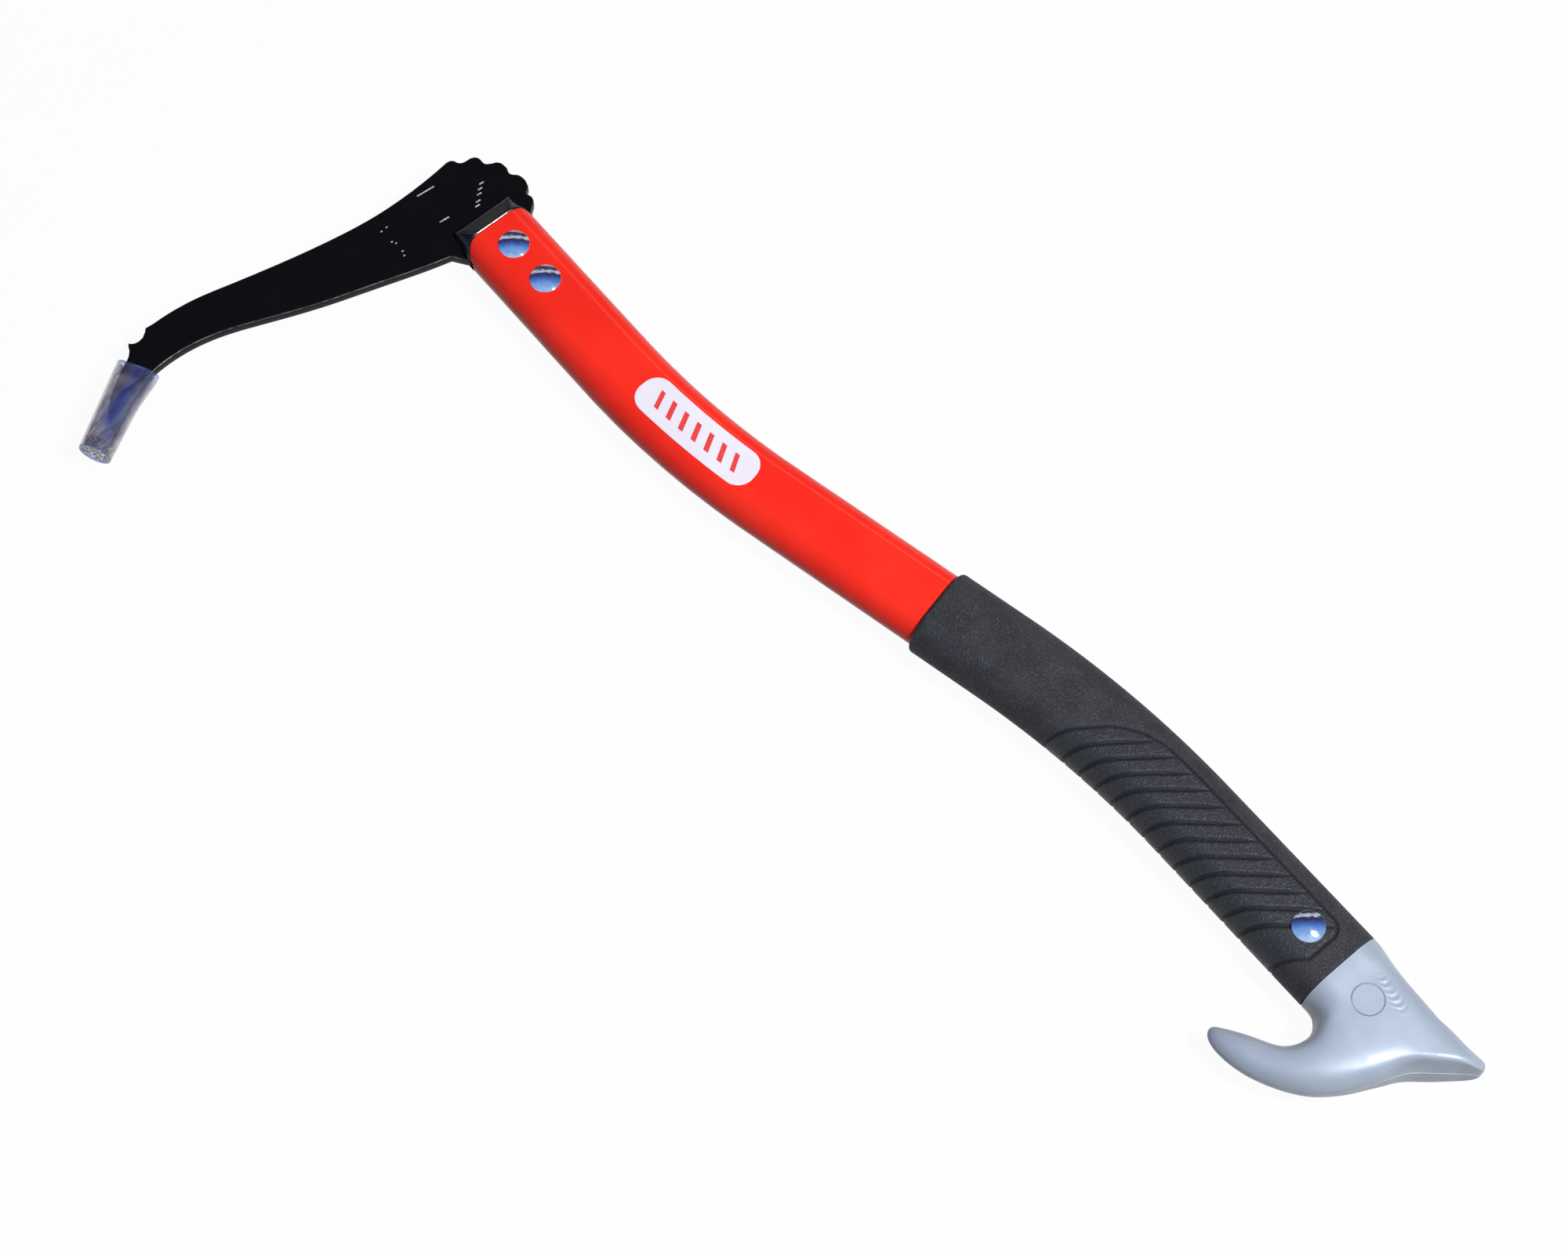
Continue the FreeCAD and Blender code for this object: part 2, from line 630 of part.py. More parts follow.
def guard_skin(inset):
    """Guard's outer shape, or its inside when inset by the wall."""
    spread = OVERRUN if inset else 0
    wires = [guard_section(inset, -OVERRUN, 0)] if inset else []
    for index in range(GUARD_TAPER_STEPS + 1):
        share = index / GUARD_TAPER_STEPS
        blend = (1 - math.cos(math.pi * share)) / 2
        wires.append(guard_section(inset, GUARD_TAPER_SHARE * point_length() * share, blend))
    wires.append(guard_section(inset, guard_length() + spread, 1))
    return Part.makeLoft(wires, True, True)


def tip_guard():
    """Clear tube over the point, flattened where it grips the plate."""
    return guard_skin(0).cut(guard_skin(GUARD_WALL))


def build_pieces():
    """Every piece by name, in the working frame."""
    pieces = {
        "hook_blade": hook_blade(),
        "collar_half_front": collar_half(1),
        "collar_half_back": collar_half(-1),
        "handle_tube": handle_tube(),
        "handle_label": handle_label(),
        "grip_sleeve": grip_sleeve(),
        "butt_hook": butt_hook(),
        "tip_guard": tip_guard(),
    }
    for name, station in rivet_stations().items():
        seat = TUBE_THICKNESS / 2 + (GRIP_WALL if name == "rivet_grip" else 0)
        pieces[name + "_post"], pieces[name + "_socket"] = rivet_halves(station, seat)
    return pieces


def ground_shift(pieces):
    """Move that puts the origin under the middle of the tool, at its lowest point."""
    box = Part.makeCompound(list(pieces.values())).optimalBoundingBox(False, False)
    return Vector(-(box.XMin + box.XMax) / 2, -(box.YMin + box.YMax) / 2, -box.ZMin)


def main():
    """Build, place and write every piece."""
    os.makedirs("parts", exist_ok=True)
    pieces = build_pieces()
    shift = ground_shift(pieces)
    print("shift", [round(value, 3) for value in shift])
    for name, shape in pieces.items():
        shape.translate(shift)
        shape.exportStep("parts/" + name + ".step")
        print(name, "valid", shape.isValid(), "solids", len(shape.Solids), "volume", round(shape.Volume, 1))


main()
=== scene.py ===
"""Hand sappie: the finished look of the tool, piece by piece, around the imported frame."""
import json
import logging
import math
from dataclasses import dataclass, field
from enum import Enum
from functools import reduce
from typing import Optional, Sequence

import bmesh
import bpy
import numpy as np
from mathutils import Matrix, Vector, geometry


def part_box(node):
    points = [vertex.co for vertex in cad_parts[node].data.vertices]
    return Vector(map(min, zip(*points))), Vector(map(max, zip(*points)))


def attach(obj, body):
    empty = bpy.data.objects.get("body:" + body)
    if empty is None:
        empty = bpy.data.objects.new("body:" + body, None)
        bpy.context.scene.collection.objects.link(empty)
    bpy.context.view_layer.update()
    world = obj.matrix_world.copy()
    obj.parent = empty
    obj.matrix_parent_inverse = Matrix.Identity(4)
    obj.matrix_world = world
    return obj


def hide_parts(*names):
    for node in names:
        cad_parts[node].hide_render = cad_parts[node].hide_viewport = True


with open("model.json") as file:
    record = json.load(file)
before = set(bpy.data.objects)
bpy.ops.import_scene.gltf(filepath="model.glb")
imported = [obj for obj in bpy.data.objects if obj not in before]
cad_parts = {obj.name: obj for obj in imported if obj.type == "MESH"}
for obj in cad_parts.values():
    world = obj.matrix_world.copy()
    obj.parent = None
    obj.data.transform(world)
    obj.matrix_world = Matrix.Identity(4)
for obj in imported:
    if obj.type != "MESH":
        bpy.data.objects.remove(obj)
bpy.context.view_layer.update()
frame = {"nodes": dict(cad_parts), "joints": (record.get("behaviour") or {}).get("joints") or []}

MM = 0.001
WELD = 0.002  # millimetres; corners of a solid that are nearer than this are one
LEFT = np.array([[0.0, 1.0], [-1.0, 0.0]])  # "way @ LEFT" is the direction to the left of way in plan
LOG = logging.getLogger("sappie")
Colour = tuple[float, float, float, float]
Pair = tuple[float, float]
Spot = tuple[float, float, float]
Faces = list[tuple[int, ...]]
Socket = bpy.types.NodeSocket


class Body(Enum):
    """The two parts that move against each other."""

    TOOL = "sappie"
    GUARD = "tip_guard"


class Slot(Enum):
    """Material slots of the tool."""

    BLADE = "blade_paint"
    COLLAR = "collar_plastic"
    TUBE = "tube_paint"
    LABEL = "label_film"
    GRIP = "grip_rubber"
    BUTT = "butt_plastic"
    GUARD = "guard_vinyl"
    RIVET = "rivet_steel"


def srgb(*screen: float) -> Colour:
    """Turn a screen colour of 0 to 255 into the linear colour, with full opacity, that a shader takes."""
    shares = [value / 255 for value in screen]
    return (*(share / 12.92 if share <= 0.04045 else ((share + 0.055) / 1.055) ** 2.4 for share in shares), 1.0)


def smooth_step(low: float, high: float, value: np.ndarray) -> np.ndarray:
    """Ease from 0 where the value is low to 1 where it is high."""
    share = np.clip((value - low) / (high - low), 0.0, 1.0)
    return share * share * (3 - 2 * share)


def unit(angle: np.ndarray) -> np.ndarray:
    """Direction in plan at an angle, or a row of directions at several angles."""
    return np.stack([np.cos(angle), np.sin(angle)], axis=-1)


def make_object(name: str, points: np.ndarray, faces: Sequence, crease_deg: float = 38.0) -> bpy.types.Object:
    """Make a smooth-shaded mesh whose faces all look outwards.

    Args:
        name: Name of the piece.
        points: Corner places in the frame, in metres.
        faces: Corner numbers of each face.
        crease_deg: Edges that turn by more than this stay crisp.

    Returns:
        The new object, linked to the scene.
    """
    mesh = bpy.data.meshes.new(name)
    mesh.from_pydata([tuple(point) for point in points], [], [tuple(face) for face in faces])
    work = bmesh.new()
    work.from_mesh(mesh)
    bmesh.ops.recalc_face_normals(work, faces=work.faces)
    work.to_mesh(mesh)
    work.free()
    mesh.shade_smooth()
    mesh.set_sharp_from_angle(angle=math.radians(crease_deg))
    piece = bpy.data.objects.new(name, mesh)
    bpy.context.scene.collection.objects.link(piece)
    return piece


def grid_faces(rows: int, columns: int, closed: bool, first: int = 0) -> Faces:
    """Number the four-sided faces of a grid of points.

    Args:
        rows: How many rows the grid has.
        columns: How many points a row has.
        closed: Whether each row runs round into itself.
        first: Number of the grid's first point.

    Returns:
        Corner numbers of each face.
    """
    faces = []
    for row in range(rows - 1):
        here, there = first + row * columns, first + (row + 1) * columns
        for column in range(columns if closed else columns - 1):
            beside = (column + 1) % columns
            faces.append((here + column, here + beside, there + beside, there + column))
    return faces


def present(piece: bpy.types.Object, body: Body, slot: Slot, finish: "Finish", nodes: Sequence[str] = (),
            **values: np.ndarray) -> None:
    """Dress a piece, hang it on its body and report it.

    Args:
        piece: The object.
        body: The body that it moves with.
        slot: The material slot that it belongs to.
        finish: Its surface.
        nodes: The solids that it stands for.
        values: One number for each corner, which the finish reads by the name that is given here.
    """
    for name, numbers in values.items():
        layer = piece.data.attributes.new(name, "FLOAT", "POINT")
        layer.data.foreach_set("value", np.ascontiguousarray(numbers, dtype=np.float32).ravel())
    piece.data.materials.append(finish.material())
    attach(piece, body.value)
    if nodes:
        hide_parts(*nodes)
    LOG.info("%s: %d corners, rides on %s", piece.name, len(piece.data.vertices), body.value)


@dataclass(frozen=True)
class Run:
    """One stretch of the handle's centre line; a turn is in radians and positive to the left."""

    length: float
    turn: float = 0.0


@dataclass
class HandleLine:
    """Centre line of the handle, in millimetres from the middle of the tube's mouth."""

    head_slope: float = math.radians(5.65)
    head_run: float = 70.8
    first_radius: float = 337.0
    first_turn: float = math.radians(13.3)
    middle_run: float = 102.8
    second_radius: float = 388.0
    second_turn: float = math.radians(12.9)
    last_run: float = 71.9
    origin: np.ndarray = field(default_factory=lambda: np.zeros(3))

    def runs(self) -> tuple[Run, ...]:
        """The straight runs and arcs from the mouth to the butt."""
        first, second = self.first_radius * self.first_turn, self.second_radius * self.second_turn
        return (Run(self.head_run), Run(first, self.first_turn), Run(self.middle_run),
                Run(second, -self.second_turn), Run(self.last_run))

    def length(self) -> float:
        """Length of the tube along the centre line."""
        return sum(run.length for run in self.runs())

    def plan(self, station: np.ndarray, side: np.ndarray) -> np.ndarray:
        """Find places in plan beside the centre line.

        Args:
            station: Distances from the mouth along the line.
            side: Distances to the left of the line.

        Returns:
            The places in plan, in millimetres from the mouth.
        """
        station, side = np.broadcast_arrays(np.asarray(station, float), np.asarray(side, float))
        plan = np.zeros((*station.shape, 2))
        start, heading, low = np.zeros(2), -self.head_slope, 0.0
        runs = self.runs()
        for index, run in enumerate(runs):
            here = (station >= low) | (index == 0)
            here &= (station < low + run.length) | (index == len(runs) - 1)
            part, aside = station[here] - low, side[here][:, None]
            if run.turn:
                radius = run.length / run.turn
                hub = start + radius * (unit(heading) @ LEFT)
                plan[here] = hub + (aside - radius) * (unit(heading + part / run.length * run.turn) @ LEFT)
                heading += run.turn
                start = hub - radius * (unit(heading) @ LEFT)
            else:
                plan[here] = start + part[:, None] * unit(heading) + aside * (unit(heading) @ LEFT)
                start = start + run.length * unit(heading)
            low += run.length
        return plan

    def place(self, station: np.ndarray, side: np.ndarray, height: np.ndarray) -> np.ndarray:
        """Find places in the frame beside and above the centre line.

        Args:
            station: Distances from the mouth along the line.
            side: Distances to the left of the line.
            height: Heights above the line.

        Returns:
            Places in the frame, in metres, one per row.
        """
        plan = self.plan(station, side)
        height = np.broadcast_to(height, plan.shape[:-1])
        return self.to_frame(np.concatenate([plan, height[..., None]], axis=-1).reshape(-1, 3))

    def to_frame(self, points: np.ndarray) -> np.ndarray:
        """Millimetres from the mouth's middle to metres in the frame."""
        return points * MM + self.origin

    def cut(self, node: str, lift: float, step: float) -> np.ndarray:
        """Outline of a solid just above the line, in even steps and in millimetres from the mouth."""
        loop = plan_loop(node, self.origin[2] + lift * MM)
        return even_steps((loop - self.origin[:2]) / MM, step, True)

    def tail(self) -> tuple[np.ndarray, np.ndarray]:
        """Place and direction of the line at the tube's end."""
        heading = -self.head_slope + self.first_turn - self.second_turn
        return self.plan(self.length(), 0.0), unit(heading)

    @classmethod
    def settle(cls, rivet_nodes: dict[str, float]) -> "HandleLine":
        """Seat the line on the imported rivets, which stand on it.

        Args:
            rivet_nodes: Station of each rivet, by its node.

        Returns:
            A line whose mouth is where the solids have it.
        """
        line = cls()
        seats = []
        for node, station in rivet_nodes.items():
            low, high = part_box(node)
            seats.append(((low + high) / 2)[:2] - line.plan(station, 0.0) * MM)
        low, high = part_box("handle_tube")
        line.origin = np.array([*np.mean(seats, axis=0), (low.z + high.z) / 2])
        return line


@dataclass(frozen=True)
class Walk:
    """Points round a section: place, outward direction, and reach from the middle of the face, left positive."""

    side: np.ndarray
    height: np.ndarray
    side_out: np.ndarray
    height_out: np.ndarray
    reach: np.ndarray

    def drawn_in(self, inset: np.ndarray) -> tuple[np.ndarray, np.ndarray]:
        """Side and height of the points, drawn in by an inset."""
        return self.side - self.side_out * inset, self.height - self.height_out * inset


@dataclass(frozen=True)
class Oval:
    """Flat oval section, in millimetres: two flat faces joined by half rounds."""

    width: float
    thickness: float

    def flat(self) -> float:
        """Half width of the flat faces."""
        return (self.width - self.thickness) / 2

    def quarter(self) -> float:
        """Length round the section from the middle of a face to the middle of a side."""
        return self.flat() + math.pi * self.thickness / 4

    def around(self, count: int) -> Walk:
        """Walk round the section in even steps.

        Args:
            count: How many points to make.

        Returns:
            The points.
        """
        flat, radius, quarter = self.flat(), self.thickness / 2, self.quarter()
        walked = np.arange(count) / count * 4 * quarter
        part = np.minimum((walked // quarter).astype(int), 3)
        along = walked - part * quarter
        reach = np.where(part % 2 == 0, along, quarter - along)
        left = np.where(part >= 2, 1.0, -1.0)
        upper = np.where((part == 0) | (part == 3), 1.0, -1.0)
        angle = np.maximum(reach - flat, 0) / radius
        side = left * (np.minimum(reach, flat) + radius * np.sin(angle))
        height = upper * radius * np.cos(angle)
        return Walk(side, height, left * np.sin(angle), upper * np.cos(angle), left * reach)

    def height_at(self, side: np.ndarray) -> np.ndarray:
        """Height of the section's upper face above its middle, by side."""
        over = np.maximum(np.abs(side) - self.flat(), 0)
        return np.sqrt(np.maximum((self.thickness / 2) ** 2 - over * over, 0))


def edge_round(radius: float, steps: int) -> list[Pair]:
    """Quarter round from a flat end to the side of a bar, as pairs of how far along and how far inwards."""
    angles = [math.pi / 2 * step / steps for step in range(steps, -1, -1)]
    return [(radius * (1 - math.sin(angle)), radius * (1 - math.cos(angle))) for angle in angles]


@dataclass(frozen=True)
class Cloud:
    """Noise with clouds of one size in millimetres, and a range of it that is mapped on start to end."""

    size: float
    low: float = 0.3
    high: float = 0.7
    start: float = 0.0
    end: float = 1.0
    detail: float = 4.0
    rough: float = 0.55
    stretch: Optional[Spot] = None
    turn_deg: float = 0.0


class Sketch:
    """The nodes of a material or of the world, with short calls for those that are used here."""

    def __init__(self, owner: bpy.types.ID) -> None:
        """Start afresh with an output and, on a material, with one plain shader.

        Args:
            owner: The material or world.
        """
        owner.use_nodes = True
        self.owner = owner
        self.tree = owner.node_tree
        self.tree.nodes.clear()
        self.lumps: Optional[Socket] = None
        dressed = isinstance(owner, bpy.types.Material)
        self.output = self.tree.nodes.new("ShaderNodeOutputMaterial" if dressed else "ShaderNodeOutputWorld")
        if dressed:
            self.shader = self.tree.nodes.new("ShaderNodeBsdfPrincipled")
            self.put(self.output.inputs["Surface"], self.shader.outputs["BSDF"])

    def put(self, target: Socket, value: object) -> None:
        """Link a socket, or set a plain value on it.

        Args:
            target: The socket that takes the value.
            value: Another node's output, a number or a colour.
        """
        if isinstance(value, Socket):
            self.tree.links.new(value, target)
        else:
            target.default_value = value

    def add(self, kind: str, output: object, inputs: dict, **settings: object) -> Socket:
        """Add a node and fill it.

        Args:
            kind: The node's type, after "ShaderNode".
            output: Name or number of the output that is wanted.
            inputs: Outputs, numbers or colours, by the name or number of the input.
            settings: The node's other settings.

        Returns:
            The output.
        """
        node = self.tree.nodes.new("ShaderNode" + kind)
        for name, value in settings.items():
            setattr(node, name, value)
        for name, value in inputs.items():
            self.put(node.inputs[name], value)
        return node.outputs[output]

    def surface(self, **values: object) -> None:
        """Set the shader's sockets, each named with underscores for spaces."""
        for name, value in values.items():
            self.put(self.shader.inputs[name.replace("_", " ")], value)

    def stored(self, name: str) -> Socket:
        """A number that the mesh keeps at its corners."""
        return self.add("Attribute", "Fac", {}, attribute_name=name)

    def noise(self, cloud: Cloud, spot: Optional[Socket] = None) -> Socket:
        """Cloudy noise about 0.5.

        Args:
            cloud: Its size, layers and stretch.
            spot: Where it is read, or nothing for the place on the object.

        Returns:
            The plain noise.
        """
        spot = spot or self.add("TexCoord", "Object", {})
        if cloud.stretch:
            turn = (0, 0, math.radians(cloud.turn_deg))
            spot = self.add("Mapping", "Vector", {"Scale": cloud.stretch, "Rotation": turn, "Vector": spot})
        return self.add("TexNoise", "Fac", {"Scale": 1 / (cloud.size * MM), "Detail": cloud.detail,
                                            "Roughness": cloud.rough, "Vector": spot})

    def cloud(self, cloud: Cloud) -> Socket:
        """The same noise, mapped on the cloud's start and end."""
        return self.spread(self.noise(cloud), cloud.low, cloud.high, cloud.start, cloud.end)

    def cells(self, size: float, feature: str = "F1") -> Socket:
        """Distance within a net of uneven cells, whose size is in millimetres, as a share of a cell."""
        spot = self.add("TexCoord", "Object", {})
        return self.add("TexVoronoi", "Distance", {"Scale": 1 / (size * MM), "Vector": spot}, feature=feature)

    def sum(self, operation: str, first: object, second: object = 0.0, clamp: bool = False) -> Socket:
        """Work out one number from two, kept between 0 and 1 if it is clamped."""
        return self.add("Math", 0, {0: first, 1: second}, operation=operation, use_clamp=clamp)

    def times(self, *factors: object) -> Socket:
        """Product of the factors."""
        return reduce(lambda first, second: self.sum("MULTIPLY", first, second), factors)

    def spread(self, value: Socket, low: float, high: float, start: float = 0.0, end: float = 1.0) -> Socket:
        """Map a number smoothly, so that low gives start and high gives end."""
        inputs = {"Value": value, "From Min": low, "From Max": high, "To Min": start, "To Max": end}
        return self.add("MapRange", "Result", inputs, interpolation_type="SMOOTHSTEP")

    def blend(self, share: object, first: object, second: object) -> Socket:
        """Mix two colours, with the second's share."""
        return self.add("Mix", 2, {"Factor": share, 6: first, 7: second}, data_type="RGBA")

    def steps(self, share: Socket, stops: Sequence[tuple[float, Colour]]) -> Socket:
        """Colour a number through a row of stops.

        Args:
            share: The number, from 0 to 1.
            stops: Positions and their colours, in order.

        Returns:
            The colour.
        """
        colour = self.add("ValToRGB", "Color", {"Fac": share})
        elements = colour.node.color_ramp.elements
        while len(elements) < len(stops):
            elements.new(0.5)
        for element, (position, shade) in zip(elements, stops):
            element.position, element.color = position, shade
        return colour

    def relief(self, height: Socket, depth: float, strength: float = 1.0) -> None:
        """Add bumps to the surface, over those that it already has.

        Args:
            height: Height of the bumps, as a share.
            depth: Height in millimetres where the share is 1.
            strength: How strongly they show.
        """
        inputs = {"Distance": depth * MM, "Strength": strength, "Height": height}
        if self.lumps is not None:
            inputs["Normal"] = self.lumps
        self.lumps = self.add("Bump", "Normal", inputs)
        self.surface(Normal=self.lumps)


@dataclass(frozen=True)
class Finish:
    """A surface that keeps its material once it is made, with what most of them share."""

    name = "finish"
    specular: float = 0.5
    dull: Optional[Cloud] = None
    grain: Optional[Cloud] = None
    grain_depth: float = 0.0

    def draw(self, sketch: Sketch) -> None:
        """Draw what this finish has of its own."""
        raise NotImplementedError

    def material(self) -> bpy.types.Material:
        """The finish's material, made on first use.

        Returns:
            The material.
        """
        if self.name not in bpy.data.materials:
            sketch = Sketch(bpy.data.materials.new(self.name))
            sketch.surface(Specular_IOR_Level=self.specular)
            self.draw(sketch)
            if self.dull:
                sketch.surface(Roughness=sketch.cloud(self.dull))
            if self.grain:
                sketch.relief(sketch.noise(self.grain), self.grain_depth)
        return bpy.data.materials[self.name]


@dataclass(frozen=True)
class RedCoat(Finish):
    """Smooth red powder coat on the tube, with an orange peel."""

    name = "red_coat"
    specular: float = 0.16
    dull: Cloud = Cloud(9.0, start=0.23, end=0.35)
    grain: Cloud = Cloud(1.6, detail=2.0)
    grain_depth: float = 0.012
    colour: Colour = srgb(255, 50, 34)
    deep: Colour = srgb(249, 44, 30)
    pale: Colour = srgb(255, 150, 140)
    mottle: Cloud = Cloud(26.0, 0.35, 0.65, detail=2.0)
    fleck_cell: float = 3.4
    fleck_edge: Pair = (0.08, 0.04)
    fleck_patch: Cloud = Cloud(7.0, 0.66, 0.70, detail=1.0)
    # Where the painted highlight line runs along the tube, how soft it is and how strong.
    highlight_reach: float = 8.6
    highlight_edge: Pair = (0.1, 0.55)
    highlight_share: float = 0.12

    def draw(self, sketch: Sketch) -> None:
        """Draw clouded red, a painted highlight as a pale line where the upper side of the flat face ends, and rare
        pale flecks.

        Args:
            sketch: Where it is drawn.
        """
        # The pale line along the flat face's edge is a painted highlight.
        off_highlight = sketch.sum("ABSOLUTE", sketch.sum("SUBTRACT", sketch.stored("reach"), self.highlight_reach))
        line = sketch.spread(off_highlight, *self.highlight_edge, self.highlight_share, 0.0)
        with_painted_line = sketch.blend(line, sketch.blend(sketch.cloud(self.mottle), self.colour, self.deep), self.pale)
        fleck = sketch.spread(sketch.cells(self.fleck_cell), *self.fleck_edge)
        share = sketch.times(fleck, sketch.cloud(self.fleck_patch))
        sketch.surface(Base_Color=sketch.blend(share, with_painted_line, self.pale))


@dataclass(frozen=True)
class BlackCoat(Finish):
    """Deep black coat on the hook plate, scuffed along its edges, which also get a painted highlight."""

    name = "black_coat"
    specular: float = 0.09
    dull: Cloud = Cloud(14.0, start=0.26, end=0.36, detail=3.0, rough=0.6)
    grain: Cloud = Cloud(0.9, detail=3.0)
    grain_depth: float = 0.010
    colour: Colour = srgb(15, 13, 13)
    # Light edge colour: partly scuffed paint, partly a painted highlight.
    glint_and_wear_colour: Colour = srgb(112, 109, 108)
    dust: Colour = srgb(92, 94, 98)
    edge_patches: Cloud = Cloud(2.2, 0.42, 0.62, 0.35)
    glint_and_wear_share: float = 0.75
    glint_and_wear_shine: float = 0.75
    dust_cell: float = 2.6
    dust_edge: Pair = (0.07, 0.03)
    dust_patch: Cloud = Cloud(6.0, 0.62, 0.68, detail=1.0)
    dust_share: float = 0.6

    def draw(self, sketch: Sketch) -> None:
        """Draw the black, its bright edges, which are scuffs and painted highlight, and dust specks.

        Args:
            sketch: Where it is drawn.
        """
        edge = sketch.stored("edge")
        # Edges are lightened and made metallic: partly scuffs, partly a painted highlight along them.
        glint_and_wear = sketch.times(edge, sketch.cloud(self.edge_patches), self.glint_and_wear_share)
        speck = sketch.spread(sketch.cells(self.dust_cell), *self.dust_edge)
        dusty = sketch.times(speck, sketch.cloud(self.dust_patch), self.dust_share)
        base = sketch.blend(dusty, sketch.blend(glint_and_wear, self.colour, self.glint_and_wear_colour), self.dust)
        sketch.surface(Base_Color=base, Metallic=sketch.times(edge, self.glint_and_wear_shine))


@dataclass(frozen=True)
class CollarPlastic(Finish):
    """Satin black moulded plastic, with a painted highlight along its rim."""

    name = "moulded_black"
    specular: float = 0.35
    dull: Cloud = Cloud(1.1, start=0.15, end=0.28)
    grain: Cloud = Cloud(0.35, detail=2.0)
    grain_depth: float = 0.004
    colour: Colour = srgb(14, 13, 15)
    deep: Colour = srgb(11, 11, 13)
    # Near-white rim colour: a painted highlight.
    glint_and_wear_colour: Colour = srgb(225, 222, 220)
    mottle: Cloud = Cloud(4.0, 0.35, 0.65)
    edge_patches: Cloud = Cloud(2.0, 0.3, 0.6, 0.5)
    glint_and_wear_shine: float = 0.7

    def draw(self, sketch: Sketch) -> None:
        """Draw faint clouds and the painted highlight on the rim.

        Args:
            sketch: Where it is drawn.
        """
        # The rim's near-white colour and metal are a painted highlight along the rounded rim, broken up by noise.
        rim = sketch.times(sketch.stored("rim"), sketch.cloud(self.edge_patches))
        plain = sketch.blend(sketch.cloud(self.mottle), self.colour, self.deep)
        sketch.surface(Base_Color=sketch.blend(rim, plain, self.glint_and_wear_colour), Metallic=sketch.times(rim, self.glint_and_wear_shine))


@dataclass(frozen=True)
class LabelFilm(Finish):
    """White film with a generic band of red slanted bars."""

    name = "white_film"
    specular: float = 0.4
    dull: Cloud = Cloud(2.0, start=0.30, end=0.42)
    grain: Cloud = Cloud(1.5, detail=2.0)
    grain_depth: float = 0.006
    white: Colour = srgb(244, 240, 252)
    shade: Colour = srgb(238, 234, 248)
    red: Colour = srgb(238, 40, 34)
    mottle: Cloud = Cloud(12.0, detail=2.0)
    ink: Cloud = Cloud(0.5, 0.2, 0.8, 0.9, detail=2.0)
    ink_edge: float = 0.06
    bar_pitch: float = 6.2
    bar_half: float = 1.116
    bar_lean: float = 0.42
    band_half: float = 3.4
    band_reach: float = 19.5

    def draw(self, sketch: Sketch) -> None:
        """Draw slanted bars in a band on the white.

        Args:
            sketch: Where it is drawn.
        """
        side = sketch.stored("label_side")
        leaned = sketch.sum("ADD", sketch.stored("label_along"), sketch.times(side, self.bar_lean))
        limits = ((sketch.sum("PINGPONG", leaned, self.bar_pitch / 2), self.bar_half),
                  (sketch.sum("ABSOLUTE", side), self.band_half), (sketch.sum("ABSOLUTE", leaned), self.band_reach))
        shares = [sketch.spread(value, limit + self.ink_edge, limit - self.ink_edge) for value, limit in limits]
        faint = sketch.blend(sketch.cloud(self.mottle), self.white, self.shade)
        sketch.surface(Base_Color=sketch.blend(sketch.times(*shares, sketch.cloud(self.ink)), faint, self.red))


@dataclass(frozen=True)
class PolishedSteel(Finish):
    """Bright rolled rivet steel, with hairlines and soft waves."""

    name = "polished_steel"
    dull: Cloud = Cloud(0.5, 0.35, 0.75, 0.05, 0.16, 2.0, 0.5, (0.06, 1.0, 1.0), 33.0)
    grain: Cloud = Cloud(2.3, detail=1.0)
    grain_depth: float = 0.020
    colour: Colour = srgb(232, 236, 245)
    tarnish: Colour = srgb(196, 204, 222)
    patch: Cloud = Cloud(1.6, 0.45, 0.75, detail=5.0)

    def draw(self, sketch: Sketch) -> None:
        """Draw the steel with small dull patches."""
        sketch.surface(Metallic=1.0, Base_Color=sketch.blend(sketch.cloud(self.patch), self.colour, self.tarnish))


@dataclass(frozen=True)
class Rubber(Finish):
    """Dark grip rubber with a leather-like grain."""

    name = "pebbled_rubber"
    specular: float = 0.24
    land: Colour = srgb(43, 43, 47)
    plain: Colour = srgb(40, 40, 43)
    pale: Colour = srgb(51, 51, 54)
    deep: Colour = srgb(27, 27, 31)
    speck: Colour = srgb(112, 114, 126)
    mottle: Cloud = Cloud(9.0, detail=3.0)
    speckle: Cloud = Cloud(0.5, 0.52, 0.72, detail=3.0)
    speck_share: float = 0.4
    land_dull: Pair = (0.62, 0.45)
    uneven: Cloud = Cloud(1.3, start=-0.07, end=0.07)
    pebble_size: float = 0.46
    pebble_edge: Pair = (0.10, 0.62)
    pebble_share: float = 0.75
    fine: Cloud = Cloud(0.32, detail=2.0)
    fine_share: float = 0.45
    pebble_depth: float = 0.13
    pebble_strength: float = 0.85

    def draw(self, sketch: Sketch) -> None:
        """Draw pebbled lands, a matt front and grooves darkened as painted shade.

        Args:
            sketch: Where it is drawn.
        """
        land = sketch.stored("land")
        plain = sketch.blend(sketch.cloud(self.mottle), self.plain, self.pale)
        speck = sketch.times(sketch.cloud(self.speckle), self.speck_share)
        base = sketch.blend(speck, sketch.blend(land, plain, self.land), self.speck)
        shine = sketch.spread(land, 0.0, 1.0, *self.land_dull)
        # The deep colour in the grooves is painted shade in the recesses.
        sketch.surface(Base_Color=sketch.blend(sketch.stored("groove"), base, self.deep),
                       Roughness=sketch.sum("ADD", shine, sketch.cloud(self.uneven)))
        pebble = sketch.spread(sketch.cells(self.pebble_size, "SMOOTH_F1"), *self.pebble_edge, 1.0, 0.0)
        bumps = sketch.sum("ADD", sketch.times(pebble, self.pebble_share),
                           sketch.times(sketch.noise(self.fine), self.fine_share))
        sketch.relief(bumps, self.pebble_depth, self.pebble_strength)


